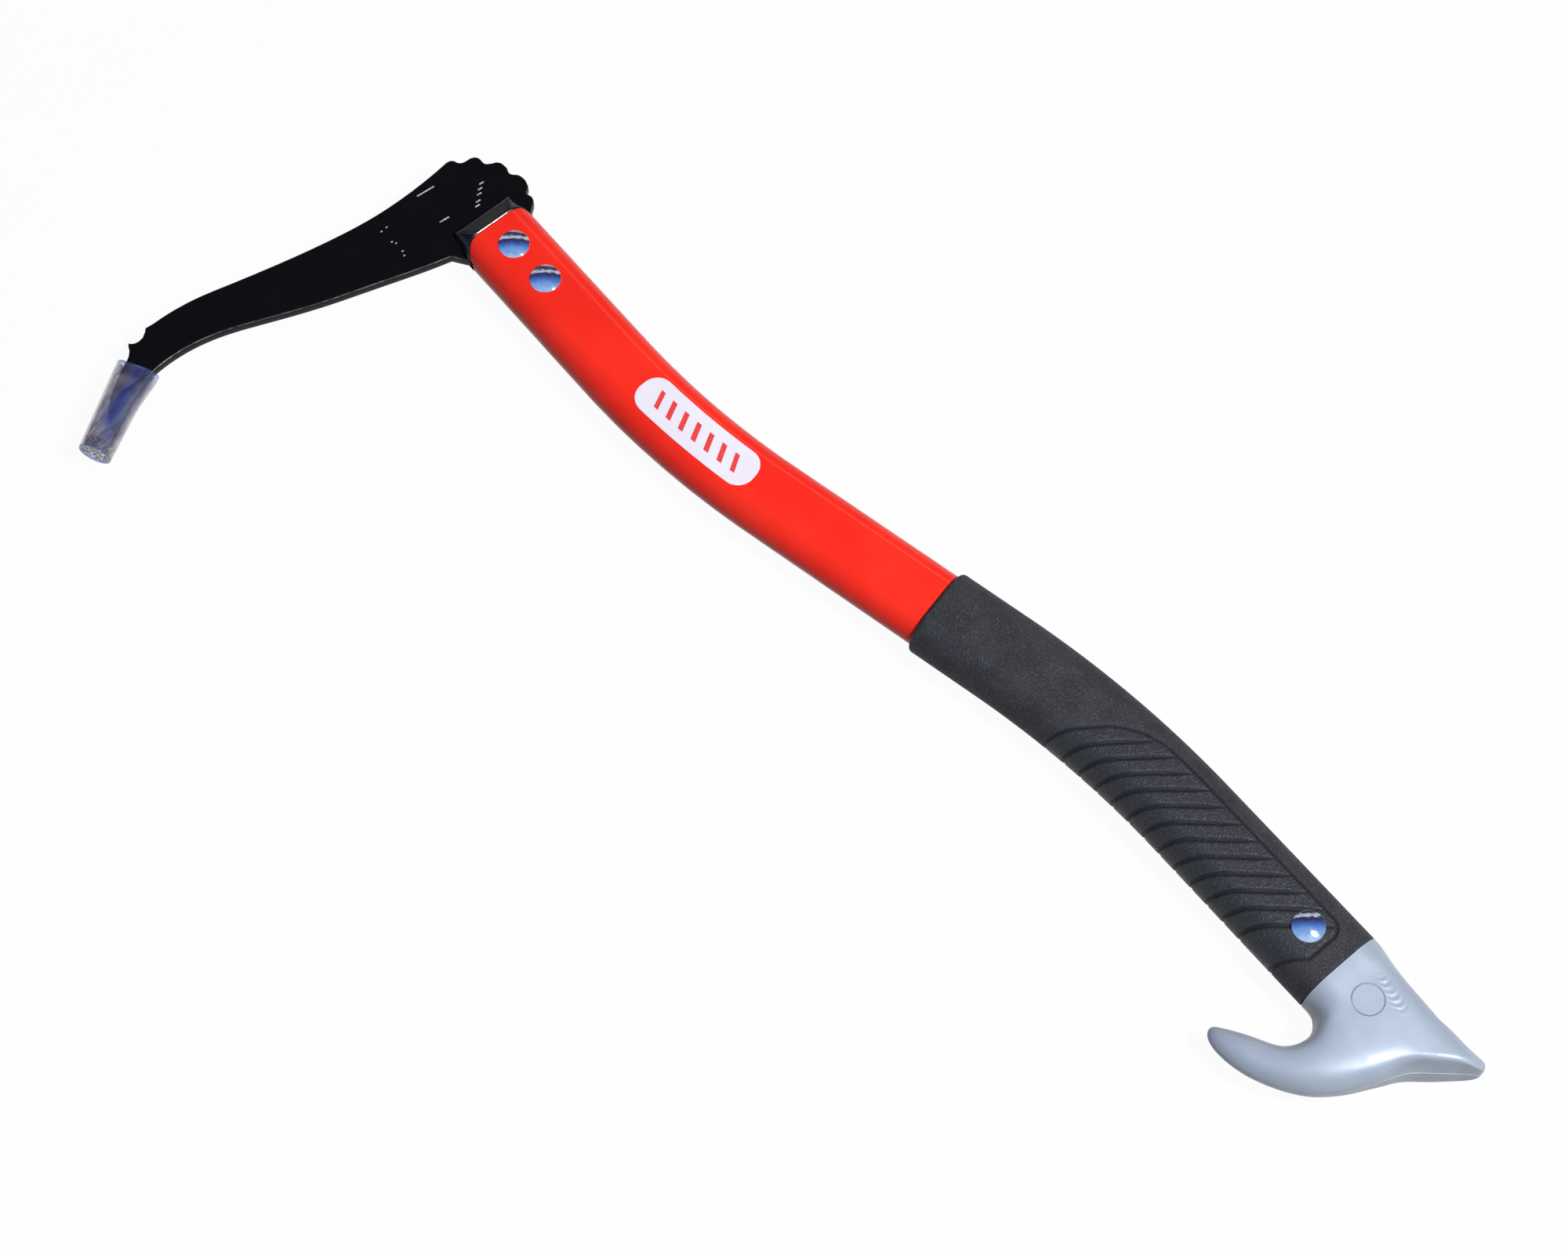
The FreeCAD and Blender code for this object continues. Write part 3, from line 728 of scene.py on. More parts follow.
@dataclass(frozen=True)
class PearlPlastic(Finish):
    """Light blue-grey plastic with a pearly flow."""

    name = "pearl_plastic"
    dull: Cloud = Cloud(5.0, start=0.37, end=0.48)
    grain: Cloud = Cloud(0.5, detail=2.0)
    grain_depth: float = 0.006
    pale: Colour = srgb(164, 175, 190)
    dusky: Colour = srgb(157, 168, 184)
    glint: Colour = srgb(196, 206, 222)
    # Dark line of the moulded ring: painted shade in its groove.
    line: Colour = srgb(78, 90, 112)
    seam: Colour = srgb(205, 212, 222)
    flow: Cloud = Cloud(11.0, 0.35, 0.65, rough=0.5, stretch=(0.35, 1.0, 1.0), turn_deg=-38.0)
    pearl: Cloud = Cloud(0.35, 0.60, 0.80, detail=2.0)
    pearl_share: float = 0.25
    ring_shade_fade: Cloud = Cloud(9.0, 0.40, 0.62, 0.15, 0.75, detail=1.0)
    metallic: float = 0.12
    coat: Pair = (0.16, 0.34)
    glow: float = 0.06
    glow_radius: Spot = (0.004, 0.004, 0.005)
    glow_scale: float = 0.5
    ripple_pitch: float = 2.6
    ripple_break: Cloud = Cloud(4.0, 0.35, 0.6, 0.3)
    ripple_depth: float = 0.08

    def draw(self, sketch: Sketch) -> None:
        """Draw drawn-out pearl clouds, a fine sparkle, the ring's line as painted shade in its groove, the seam and
        flow ripples by the ring.

        Args:
            sketch: Where it is drawn.
        """
        base = sketch.blend(sketch.cloud(self.flow), self.pale, self.dusky)
        pearly = sketch.blend(sketch.times(sketch.cloud(self.pearl), self.pearl_share), base, self.glint)
        ring_shade = sketch.times(sketch.stored("line"), sketch.cloud(self.ring_shade_fade))
        with_painted_line = sketch.blend(ring_shade, pearly, self.line)
        sketch.surface(Base_Color=sketch.blend(sketch.stored("seam"), with_painted_line, self.seam), Metallic=self.metallic,
                       Coat_Weight=self.coat[0], Coat_Roughness=self.coat[1], Subsurface_Weight=self.glow,
                       Subsurface_Radius=self.glow_radius, Subsurface_Scale=self.glow_scale)
        ripple = sketch.sum("SINE", sketch.times(sketch.stored("ripple_along"), 2 * math.pi / self.ripple_pitch))
        broken = sketch.times(sketch.stored("ripple_share"), sketch.cloud(self.ripple_break))
        sketch.relief(sketch.times(ripple, broken), self.ripple_depth)


@dataclass(frozen=True)
class ClearVinyl(Finish):
    """Clear soft plastic with a faint blue cast."""

    name = "clear_vinyl"
    tint: Colour = srgb(222, 216, 216)
    streak: Colour = srgb(150, 142, 146)
    # Blue of the middle band and of the rims: painted reflection of a blue sky.
    core: Colour = srgb(26, 58, 168)
    speck: Colour = srgb(64, 62, 64)
    rim: Colour = srgb(120, 160, 236)
    haze: Cloud = Cloud(1.8, rough=0.65, stretch=(1.0, 0.16, 1.0), turn_deg=23.5)
    haze_depth: float = 0.12
    streak_edge: Pair = (0.40, 0.62)
    core_thin: float = 0.7
    core_clear: float = 0.62
    speckle: Cloud = Cloud(0.6, 0.44, 0.56, detail=3.0)
    dull_edge: Pair = (0.35, 0.75)
    dull_range: Pair = (0.03, 0.16)
    bend: float = 1.5
    coat_bend: float = 1.65
    coat_dull: float = 0.05
    soak: Colour = (0.30, 0.50, 0.95, 1.0)
    soak_density: float = 90.0

    def draw(self, sketch: Sketch) -> None:
        """Draw the vinyl: clear, clouded lengthways, with painted reflection of a blue sky in its middle and on its
        rims, specked at its end.

        Args:
            sketch: Where it is drawn.
        """
        haze = sketch.noise(self.haze)
        cast = sketch.blend(sketch.spread(haze, *self.streak_edge), self.tint, self.streak)
        thin = sketch.spread(haze, self.haze.low, self.haze.high, 1.0, self.core_thin)
        # Middle band of painted blue reflection, thinned by the haze.
        core = sketch.times(sketch.stored("core"), thin)
        speck = sketch.times(sketch.stored("bore_end"), sketch.cloud(self.speckle))
        specked = sketch.blend(speck, sketch.blend(core, cast, self.core), self.speck)
        reflection_and_speck = sketch.sum("MAXIMUM", core, speck)
        sketch.surface(Base_Color=sketch.blend(sketch.stored("rim"), specked, self.rim), IOR=self.bend,
                       Roughness=sketch.spread(haze, *self.dull_edge, *self.dull_range),
                       Transmission_Weight=sketch.spread(reflection_and_speck, 0.0, 1.0, 1.0, self.core_clear),
                       Coat_Weight=1.0, Coat_IOR=self.coat_bend, Coat_Roughness=self.coat_dull)
        soak = sketch.add("VolumeAbsorption", "Volume", {"Color": self.soak, "Density": self.soak_density})
        sketch.put(sketch.output.inputs["Volume"], soak)
        sketch.relief(haze, self.haze_depth)


@dataclass(frozen=True)
class PaintedGlintSteel(Finish):
    """Metal of the stamped marks, near white so that they show as painted highlights."""

    name = "painted_glint_steel"
    dull: Cloud = Cloud(0.3, start=0.16, end=0.34)
    grain: Cloud = Cloud(0.4, detail=2.0)
    grain_depth: float = 0.02
    colour: Colour = srgb(236, 240, 246)
    tarnish: Colour = srgb(150, 156, 170)
    stain: Cloud = Cloud(0.5, 0.4, 0.7, detail=3.0)
    metallic: float = 0.3

    def draw(self, sketch: Sketch) -> None:
        """Draw near-white metal, a painted highlight, with small stains."""
        base = sketch.blend(sketch.cloud(self.stain), self.colour, self.tarnish)
        sketch.surface(Base_Color=base, Metallic=self.metallic)


def plan_loop(node: str, height: float) -> np.ndarray:
    """Cut a solid with a level plane and return the longest loop of the cut.

    Args:
        node: The solid's node.
        height: Height of the plane in the frame, in metres.

    Returns:
        Points of the loop in the frame's plan, in metres, anticlockwise.
    """
    mesh = frame["nodes"][node].data
    mesh.calc_loop_triangles()
    points = np.zeros(len(mesh.vertices) * 3)
    mesh.vertices.foreach_get("co", points)
    corners = np.zeros(len(mesh.loop_triangles) * 3, int)
    mesh.loop_triangles.foreach_get("vertices", corners)
    places = np.round(points.reshape(-1, 3) / (WELD * MM)).astype(int)
    welded, number = np.unique(places, axis=0, return_inverse=True)
    corners = number.ravel()[corners].reshape(-1, 3)
    points = welded * WELD * MM
    above = points[:, 2] > height
    beside: dict[tuple[int, int], list[tuple[int, int]]] = {}
    for corner in corners[above[corners].any(axis=1) & ~above[corners].all(axis=1)]:
        pairs = [tuple(sorted((corner[a], corner[b]))) for a, b in ((0, 1), (1, 2), (2, 0))]
        one, other = (pair for pair in pairs if above[pair[0]] != above[pair[1]])
        beside.setdefault(one, []).append(other)
        beside.setdefault(other, []).append(one)
    best: list[tuple[int, int]] = []
    left = set(beside)
    while left:
        walk, onward = [], [left.pop()]
        while onward:
            walk.append(onward[0])
            left.discard(onward[0])
            onward = [pair for pair in beside[walk[-1]] if pair in left]
        best = max(best, walk, key=len)
    low, high = (points[[pair[end] for pair in best]] for end in (0, 1))
    share = ((height - low[:, 2]) / (high[:, 2] - low[:, 2]))[:, None]
    loop = (low + (high - low) * share)[:, :2]
    area = np.sum(loop[:, 0] * np.roll(loop[:, 1], -1) - loop[:, 1] * np.roll(loop[:, 0], -1))
    return loop if area > 0 else loop[::-1]


def even_steps(points: np.ndarray, step: float, closed: bool) -> np.ndarray:
    """Split the long stretches of a line and drop doubled points.

    Args:
        points: The line's points.
        step: Longest stretch that stays.
        closed: Whether the last point joins the first.

    Returns:
        The line with more points.
    """
    made = []
    for start, end in zip(points, np.roll(points, -1, axis=0) if closed else points[1:]):
        gap = float(np.linalg.norm(end - start))
        count = max(1, math.ceil(gap / step)) if gap > step * 0.02 else 0
        made += [start + (end - start) * index / count for index in range(count)]
    return np.array(made if closed else made + [points[-1]])


def walk_evenly(points: np.ndarray, step: float) -> np.ndarray:
    """Place points at even distances along an open line.

    Args:
        points: The line's points.
        step: Distance wanted between the points.

    Returns:
        The evenly placed points.
    """
    walked = np.concatenate([[0.0], np.cumsum(np.linalg.norm(np.diff(points, axis=0), axis=1))])
    marks = np.linspace(0, walked[-1], max(2, int(walked[-1] / step)))
    return np.stack([np.interp(marks, walked, points[:, axis]) for axis in range(2)], axis=1)


def outward(loop: np.ndarray, closed: bool) -> np.ndarray:
    """Outward directions of a line that runs anticlockwise round a shape.

    Args:
        loop: The line's points.
        closed: Whether the last point joins the first.

    Returns:
        One unit direction for each point, longer at sharp corners.
    """
    ahead, back = np.roll(loop, -1, axis=0) - loop, loop - np.roll(loop, 1, axis=0)
    if not closed:
        ahead[-1], back[0] = back[-1], ahead[0]
    ahead /= np.linalg.norm(ahead, axis=1, keepdims=True)
    back /= np.linalg.norm(back, axis=1, keepdims=True)
    mean = ahead + back
    mean /= np.maximum(np.linalg.norm(mean, axis=1, keepdims=True), 1e-9)
    normal, square = -mean @ LEFT, -ahead @ LEFT
    return normal / np.clip(np.sum(normal * square, axis=1, keepdims=True), 0.55, 1.0)


def gap_to_line(points: np.ndarray, line: np.ndarray) -> np.ndarray:
    """Shortest distance from each point to a closed line.

    Args:
        points: The points.
        line: The line's points.

    Returns:
        One distance for each point.
    """
    step = np.roll(line, -1, axis=0) - line
    size = np.maximum(np.sum(step * step, axis=1), 1e-18)
    gaps = []
    for group in np.array_split(points, len(points) // 4000 + 1):
        part = group[:, None, :] - line[None]
        share = np.clip(np.sum(part * step[None], axis=2) / size[None], 0, 1)
        away = part - share[..., None] * step[None]
        gaps.append(np.sqrt(np.min(np.sum(away * away, axis=2), axis=1)))
    return np.concatenate(gaps)


def inside(points: np.ndarray, loop: np.ndarray) -> np.ndarray:
    """Whether each point lies within a closed loop.

    Args:
        points: The points.
        loop: The loop's points.

    Returns:
        One truth value for each point.
    """
    found = np.zeros(len(points), bool)
    for start, end in zip(loop, np.roll(loop, -1, axis=0)):
        if start[1] != end[1]:
            spans = (start[1] > points[:, 1]) != (end[1] > points[:, 1])
            cross = start[0] + (points[:, 1] - start[1]) / (end[1] - start[1]) * (end[0] - start[0])
            found ^= spans & (points[:, 0] < cross)
    return found


def fill_plan(loop: np.ndarray, extra: np.ndarray) -> tuple[np.ndarray, np.ndarray]:
    """Fill a closed loop with even triangles.

    Args:
        loop: The loop's points, which all stay.
        extra: Points inside it to be joined in.

    Returns:
        All points, the loop's first, and the triangles' corner numbers.
    """
    points = np.concatenate([loop, extra])
    edges = [(index, (index + 1) % len(loop)) for index in range(len(loop))]
    made = geometry.delaunay_2d_cdt([Vector(point) for point in points], edges, [], 1, 1e-6, True)
    sources = [source[0] if source else -1 for source in made[3]]
    triangles = np.array([[sources[corner] for corner in face] for face in made[2] if len(face) == 3])
    triangles = triangles[triangles.min(axis=1) >= 0]
    return points, triangles[inside(points[triangles].mean(axis=1), loop)]


def grid_inside(loop: np.ndarray, step: float, clear: float) -> np.ndarray:
    """Staggered grid of points inside a loop.

    Args:
        loop: The loop's points.
        step: Distance between the grid's points.
        clear: Least distance to the loop.

    Returns:
        The grid's points.
    """
    low, high = loop.min(axis=0), loop.max(axis=0)
    rows = []
    for index, y in enumerate(np.arange(low[1], high[1], step * math.sqrt(0.75))):
        x = np.arange(low[0] + (index % 2) * step / 2, high[0], step)
        rows.append(np.stack([x, np.full(len(x), y)], axis=1))
    points = np.concatenate(rows)
    points = points[inside(points, loop)]
    return points[gap_to_line(points, loop) > clear]


@dataclass
class HookPlate:
    """The steel plate: poll, arm, teeth and point, with its tang in the tube."""

    line: HandleLine
    thickness: float = 4.0
    outline_step: float = 0.8
    grid_step: float = 1.5
    grid_clear: float = 0.55
    edge_radius: float = 0.42
    edge_steps: int = 4
    bevel_start: float = 5.2
    bevel_length: float = 24.0
    bevel_edge: float = 1.4
    edge_band_start: float = 0.25
    edge_band_depth: float = 0.42
    wall_line: float = 0.03
    crease_deg: float = 50.0

    def half_height(self, plan: np.ndarray, guard: "PointGuard") -> np.ndarray:
        """Half of the plate's thickness, which falls towards the point.

        Args:
            plan: Places in plan.
            guard: The guard, whose axis the point follows.

        Returns:
            Half thickness at each place.
        """
        along = (plan - guard.mouth) @ guard.way - self.bevel_start
        slope = (self.thickness - self.bevel_edge) / 2 / self.bevel_length
        return self.thickness / 2 - slope * np.clip(along, 0, self.bevel_length)

    def build(self, guard: "PointGuard") -> None:
        """Make the plate with rounded edges and even faces.

        Args:
            guard: The guard, whose axis the point follows.
        """
        loop = self.line.cut("hook_blade", 0.05, self.outline_step)
        count, normal, points = len(loop), outward(loop, True), []
        for index in range(self.edge_steps + 1):
            angle = math.pi / 2 * index / self.edge_steps
            ring = loop - normal * self.edge_radius * (1 - math.cos(angle))
            drop = self.edge_radius * (1 - math.sin(angle))
            points.append(np.column_stack([ring, self.half_height(ring, guard) - drop]))
        plan, triangles = fill_plan(ring, grid_inside(ring, self.grid_step, self.grid_clear))
        points[-1] = np.column_stack([plan, self.half_height(plan, guard)])
        upper = np.concatenate(points)
        both = np.concatenate([upper, upper * np.array([1, 1, -1])])
        first, shift = self.edge_steps * count, len(upper)
        faces = grid_faces(self.edge_steps + 1, count, True) + [tuple(face + first) for face in triangles]
        faces += [tuple(np.array(face)[::-1] + shift) for face in faces]
        faces += [(i, (i + 1) % count, (i + 1) % count + shift, i + shift) for i in range(count)]
        piece = make_object("hook_plate", self.line.to_frame(both), faces, self.crease_deg)
        gap = gap_to_line(both[:, :2], loop)
        # Band along the rounded edge that the black coat lightens: scuffs and painted highlight.
        edge = smooth_step(0.0, self.wall_line, gap) * (1 - smooth_step(self.edge_band_start, self.edge_band_depth, gap))
        present(piece, Body.TOOL, Slot.BLADE, BlackCoat(), ("hook_blade",), edge=edge)


@dataclass
class StampedMarks:
    """Plain stamped dashes and dots on the plate, in millimetres from the mouth."""

    line: HandleLine
    face: float = 2.0
    rise: float = 0.03
    top_scale: float = 0.75
    dash_width: float = 0.55
    long_dashes: tuple = ((-31.2, -6.3, 7.6), (-17.3, -9.6, 4.2))
    short_dashes: tuple = ((-19.0, 10.8), (-17.6, 8.7), (-16.2, 7.0), (-14.2, 4.6), (-12.9, 3.1))
    short_length: float = 2.1
    dots: tuple = ((-30.1, -29.5), (-30.1, -26.9), (-24.1, -29.7), (-22.6, -29.0), (-18.4, -29.6), (-16.6, -30.4))
    dot_length: float = 0.9
    heading: float = math.radians(80.0)
    around: int = 12

    def bar(self, x: float, y: float, length: float) -> np.ndarray:
        """Outline of one round-ended dash.

        Args:
            x: Middle of the dash.
            y: Middle of the dash.
            length: Length over its round ends.

        Returns:
            Points of the dash in plan.
        """
        turn = unit(2 * math.pi * (np.arange(self.around) + 0.5) / self.around)
        along = np.copysign(max(length - self.dash_width, 0) / 2, turn[:, :1]) * (1, 0)
        way = unit(self.heading)
        return (along + self.dash_width / 2 * turn) @ np.stack([way, way @ LEFT]) + (x, y)

    def build(self) -> None:
        """Make all marks as one thin piece on the plate's face."""
        bars = list(self.long_dashes) + [(*dot, self.dot_length) for dot in self.dots]
        bars += [(*dash, self.short_length) for dash in self.short_dashes]
        points, faces, count = [], [], self.around
        for index, bar in enumerate(bars):
            ring = self.bar(*bar)
            middle = ring.mean(axis=0)
            for scale, height in ((1.0, self.face), (self.top_scale, self.face + self.rise)):
                points.append(np.column_stack([middle + (ring - middle) * scale, np.full(count, height)]))
            first = 2 * count * index
            faces += grid_faces(2, count, True, first) + [tuple(range(first + count, first + 2 * count))]
        piece = make_object("stamped_marks", self.line.to_frame(np.concatenate(points)), faces)
        # The marks take near-white metal: painted highlights standing in for glints.
        present(piece, Body.TOOL, Slot.BLADE, PaintedGlintSteel())


@dataclass
class Mouth:
    """The tube's mouth, whose corners are rounded in plan."""

    half_width: float = 15.0
    upper_radius: float = 4.0
    lower_radius: float = 6.5

    def start(self, side: np.ndarray) -> np.ndarray:
        """Find where the tube starts.

        Args:
            side: Distances to the left of the line.

        Returns:
            Station at each side.
        """
        radius = np.where(side > 0, self.upper_radius, self.lower_radius)
        over = np.clip(np.abs(side) - (self.half_width - radius), 0, radius)
        return radius - np.sqrt(radius * radius - over * over)


@dataclass
class Tube:
    """The red S-bent tube."""

    line: HandleLine
    mouth: Mouth
    section: Oval = Oval(30.0, 18.0)
    wall: float = 2.0
    lip_radius: float = 0.3
    lip_steps: int = 3
    bore_shown: float = 14.0
    fade_start: float = 2.0
    near_rows: tuple = (0.8, 1.6, 2.6, 3.8, 5.2, 6.8, 8.6, 10.6)
    row_step: float = 2.4
    around: int = 120
    crease_deg: float = 60.0

    def build(self) -> None:
        """Make the tube, open at both ends, with soft edges at its mouth."""
        ring, end, last = self.section.around(self.around), self.line.length(), self.near_rows[-1]
        profile = [(self.bore_shown, self.wall), (self.lip_radius, self.wall), (0.0, self.wall - self.lip_radius)]
        profile += edge_round(self.lip_radius, self.lip_steps)
        count = int((end - last) / self.row_step)
        stations = [*self.near_rows, *(last + (end - last) * (index + 1) / count for index in range(count))]
        profile += [(station, 0.0) for station in stations]
        profile += [(end, self.wall), (end - self.bore_shown, self.wall)]
        early, rows = self.mouth.start(ring.side), []
        for station, inset in profile:
            fade = 1 - smooth_step(self.fade_start, last + self.bore_shown, station)
            rows.append(self.line.place(station + early * fade, *ring.drawn_in(inset)))
        faces = grid_faces(len(rows), self.around, True)
        piece = make_object("red_tube", np.concatenate(rows), faces, self.crease_deg)
        present(piece, Body.TOOL, Slot.TUBE, RedCoat(), ("handle_tube",), reach=np.tile(ring.reach, len(rows)))


@dataclass
class Collar:
    """The black hood at the mouth, in two halves over and under the plate."""

    line: HandleLine
    mouth: Mouth
    section: Oval = Oval(30.0, 18.0)
    length: float = 8.1
    front_half_width: float = 13.0
    front_height: float = 4.2
    side_slant: float = 0.6
    seat: float = 2.05
    gap: float = 0.2
    rim: float = 0.8
    rim_steps: int = 5
    nose: float = 0.4
    nose_steps: int = 3
    bore: float = 4.0
    middle_rows: tuple = (0.2, 0.4, 0.6, 0.8)
    rim_glint: tuple = (0.0, 0.5, 1.0, 1.0, 0.5, 0.1)
    glint_edge: Pair = (0.9, 1.25)
    crease_deg: float = 42.0

    def shape(self, station: np.ndarray, column: np.ndarray, inset: float) -> tuple[np.ndarray, np.ndarray]:
        """Side and height of the hood's surface.

        Args:
            station: Distance from the mouth, negative in front of it.
            column: From -2 at one side over the flat (-1 to 1) to 2 at the other side.
            inset: How far the surface is drawn in.

        Returns:
            Side and height.
        """
        share = np.clip(1 + station / self.length, 0, 1)
        radius, flat_end = self.section.thickness / 2, self.section.flat()
        flat = (self.front_half_width - self.side_slant) * (1 - share) + flat_end * share
        wide = self.front_half_width * (1 - share) + (flat_end + radius) * share
        high = self.front_height * (1 - share) + radius * share
        angle = np.clip(np.abs(column) - 1, 0, 1) * math.pi / 2
        side = np.sign(column) * (np.minimum(np.abs(column), 1) * flat + (wide - flat) * np.sin(angle))
        side = side - np.sign(column) * inset * np.sin(angle)
        return side, np.maximum((high - inset) * np.cos(angle), self.seat)

    def build(self) -> None:
        """Make the upper half and its mirror below the plate."""
        column = np.concatenate([np.linspace(-2, -1, 16), np.linspace(-0.8, 0.8, 9), np.linspace(1, 2, 16)])
        flat_side, _ = self.shape(np.zeros(len(column)), column, 0.0)
        end = self.mouth.start(flat_side) - self.gap
        front = [(0.0, self.front_height - self.seat)] + edge_round(self.nose, self.nose_steps)
        front += [(self.length * share, 0.0) for share in self.middle_rows]
        back = edge_round(self.rim, self.rim_steps)[::-1] + [(0.0, self.bore)]
        profile = [(along - self.length + end * along / self.length, inset) for along, inset in front]
        profile += [(end - along, inset) for along, inset in back]
        rows = [(station, *self.shape(station, column, inset)) for station, inset in profile]
        # Rows of the rim's round that carry the painted highlight, fading off towards the sides.
        glint_and_wear = np.zeros(len(profile))
        glint_and_wear[-1 - len(self.rim_glint):-1] = self.rim_glint
        rim = np.outer(glint_and_wear, 1 - smooth_step(*self.glint_edge, np.abs(column)))
        under = rim.size
        faces = grid_faces(len(rows), len(column), False) + grid_faces(len(rows), len(column), False, under)
        stored = np.concatenate([rim.ravel(), np.zeros(under)])
        for name, node, up in (("collar_upper", "collar_half_front", 1), ("collar_lower", "collar_half_back", -1)):
            points = [self.line.place(station, side, up * height) for station, side, height in rows]
            points += [self.line.place(station, side, up * self.seat) for station, side, _ in rows]
            piece = make_object(name, np.concatenate(points), faces, self.crease_deg)
            present(piece, Body.TOOL, Slot.COLLAR, CollarPlastic(), (node,), rim=stored)


@dataclass
class Label:
    """The film on the tube's upper face."""

    line: HandleLine
    section: Oval = Oval(30.0, 18.0)
    station: float = 115.0
    length: float = 55.0
    width: float = 15.3
    corner: float = 6.6
    corner_steps: int = 12
    outline_step: float = 1.0
    rise: float = 0.15
    glue: float = 0.03
    edge_drop: float = 0.02
    edge_shares: tuple = (0.0, 0.0, 0.012)
    ring_start: float = 0.03
    rings: int = 14
    crease_deg: float = 60.0

    def outline(self) -> np.ndarray:
        """Draw a rounded rectangle in plan, about the label's middle.

        Returns:
            Its points.
        """
        reach, wide, points = self.length / 2 - self.corner, self.width / 2 - self.corner, []
        for quarter, middle in enumerate(((reach, wide), (-reach, wide), (-reach, -wide), (reach, -wide))):
            turns = math.pi / 2 * (quarter + np.arange(self.corner_steps + 1) / self.corner_steps)
            points.append(middle + self.corner * unit(turns))
        return even_steps(np.concatenate(points), self.outline_step, True)

    def build(self) -> None:
        """Make the film as rings that close in on its middle line."""
        edge = self.outline()
        reach = (self.length - self.width) / 2
        middle = np.column_stack([np.clip(edge[:, 0], -reach, reach), np.zeros(len(edge))])
        inner = [self.ring_start + (1 - self.ring_start) * (index + 1) / self.rings for index in range(self.rings)]
        rises = [self.glue, self.rise - self.edge_drop] + [self.rise] * (self.rings + 1)
        rows, plan = [], []
        for share, rise in zip((*self.edge_shares, *inner), rises):
            plan.append(edge + (middle - edge) * share)
            along, side = plan[-1].T
            rows.append(self.line.place(self.station + along, side, self.section.height_at(side) + rise))
        faces = grid_faces(len(rows), len(edge), True)
        piece = make_object("label", np.concatenate(rows), faces, self.crease_deg)
        along, side = np.concatenate(plan).T
        present(piece, Body.TOOL, Slot.LABEL, LabelFilm(), ("handle_label",), label_along=along, label_side=side)


@dataclass
class Rivet:
    """One two-part rivet: a domed head on each face."""

    line: HandleLine
    name: str
    station: float
    seat: float
    radius: float = 5.8
    rise: float = 1.8
    rim: float = 0.35
    rim_round: float = 0.14
    post: float = 3.0
    dome_steps: int = 18
    around: int = 72
    crease_deg: float = 50.0

    def profile(self) -> list[Pair]:
        """Draw the head from its crown to the end of the shank.

        Returns:
            Radius and height above the seat.
        """
        crown = self.rise - self.rim
        ball = (self.radius ** 2 + crown ** 2) / (2 * crown)
        widest = math.asin((self.radius - self.rim_round) / ball)
        angles = [widest * (index + 1) / self.dome_steps for index in range(self.dome_steps)]
        points = [(ball * math.sin(angle), self.rise - ball * (1 - math.cos(angle))) for angle in angles]
        points += [(self.radius - 0.04, self.rim + 0.02), (self.radius, self.rim - self.rim_round)]
        points += [(self.radius, 0.05), (self.radius - 0.05, -0.01), (self.post, -0.01), (self.post, 0.3 - self.seat)]
        return points

    def build(self) -> None:
        """Make both heads, each with half of the shank."""
        middle, profile = self.line.plan(self.station, 0.0), self.profile()
        turn = unit(np.arange(self.around) / self.around * 2 * math.pi)
        last = 1 + (len(profile) - 1) * self.around
        faces = [(0, 1 + index, 1 + (index + 1) % self.around) for index in range(self.around)]
        faces += grid_faces(len(profile), self.around, True, 1) + [tuple(range(last, last + self.around))]
        for half, up in (("post", 1), ("socket", -1)):
            rows = [(*middle, up * (self.seat + self.rise))]
            for radius, height in profile:
                level = np.full(self.around, up * (self.seat + height))
                rows += [*np.column_stack([middle + radius * turn, level])]
            piece = make_object(f"{self.name}_{half}_head", self.line.to_frame(np.array(rows)), faces, self.crease_deg)
            present(piece, Body.TOOL, Slot.RIVET, PolishedSteel(), (f"{self.name}_{half}",))


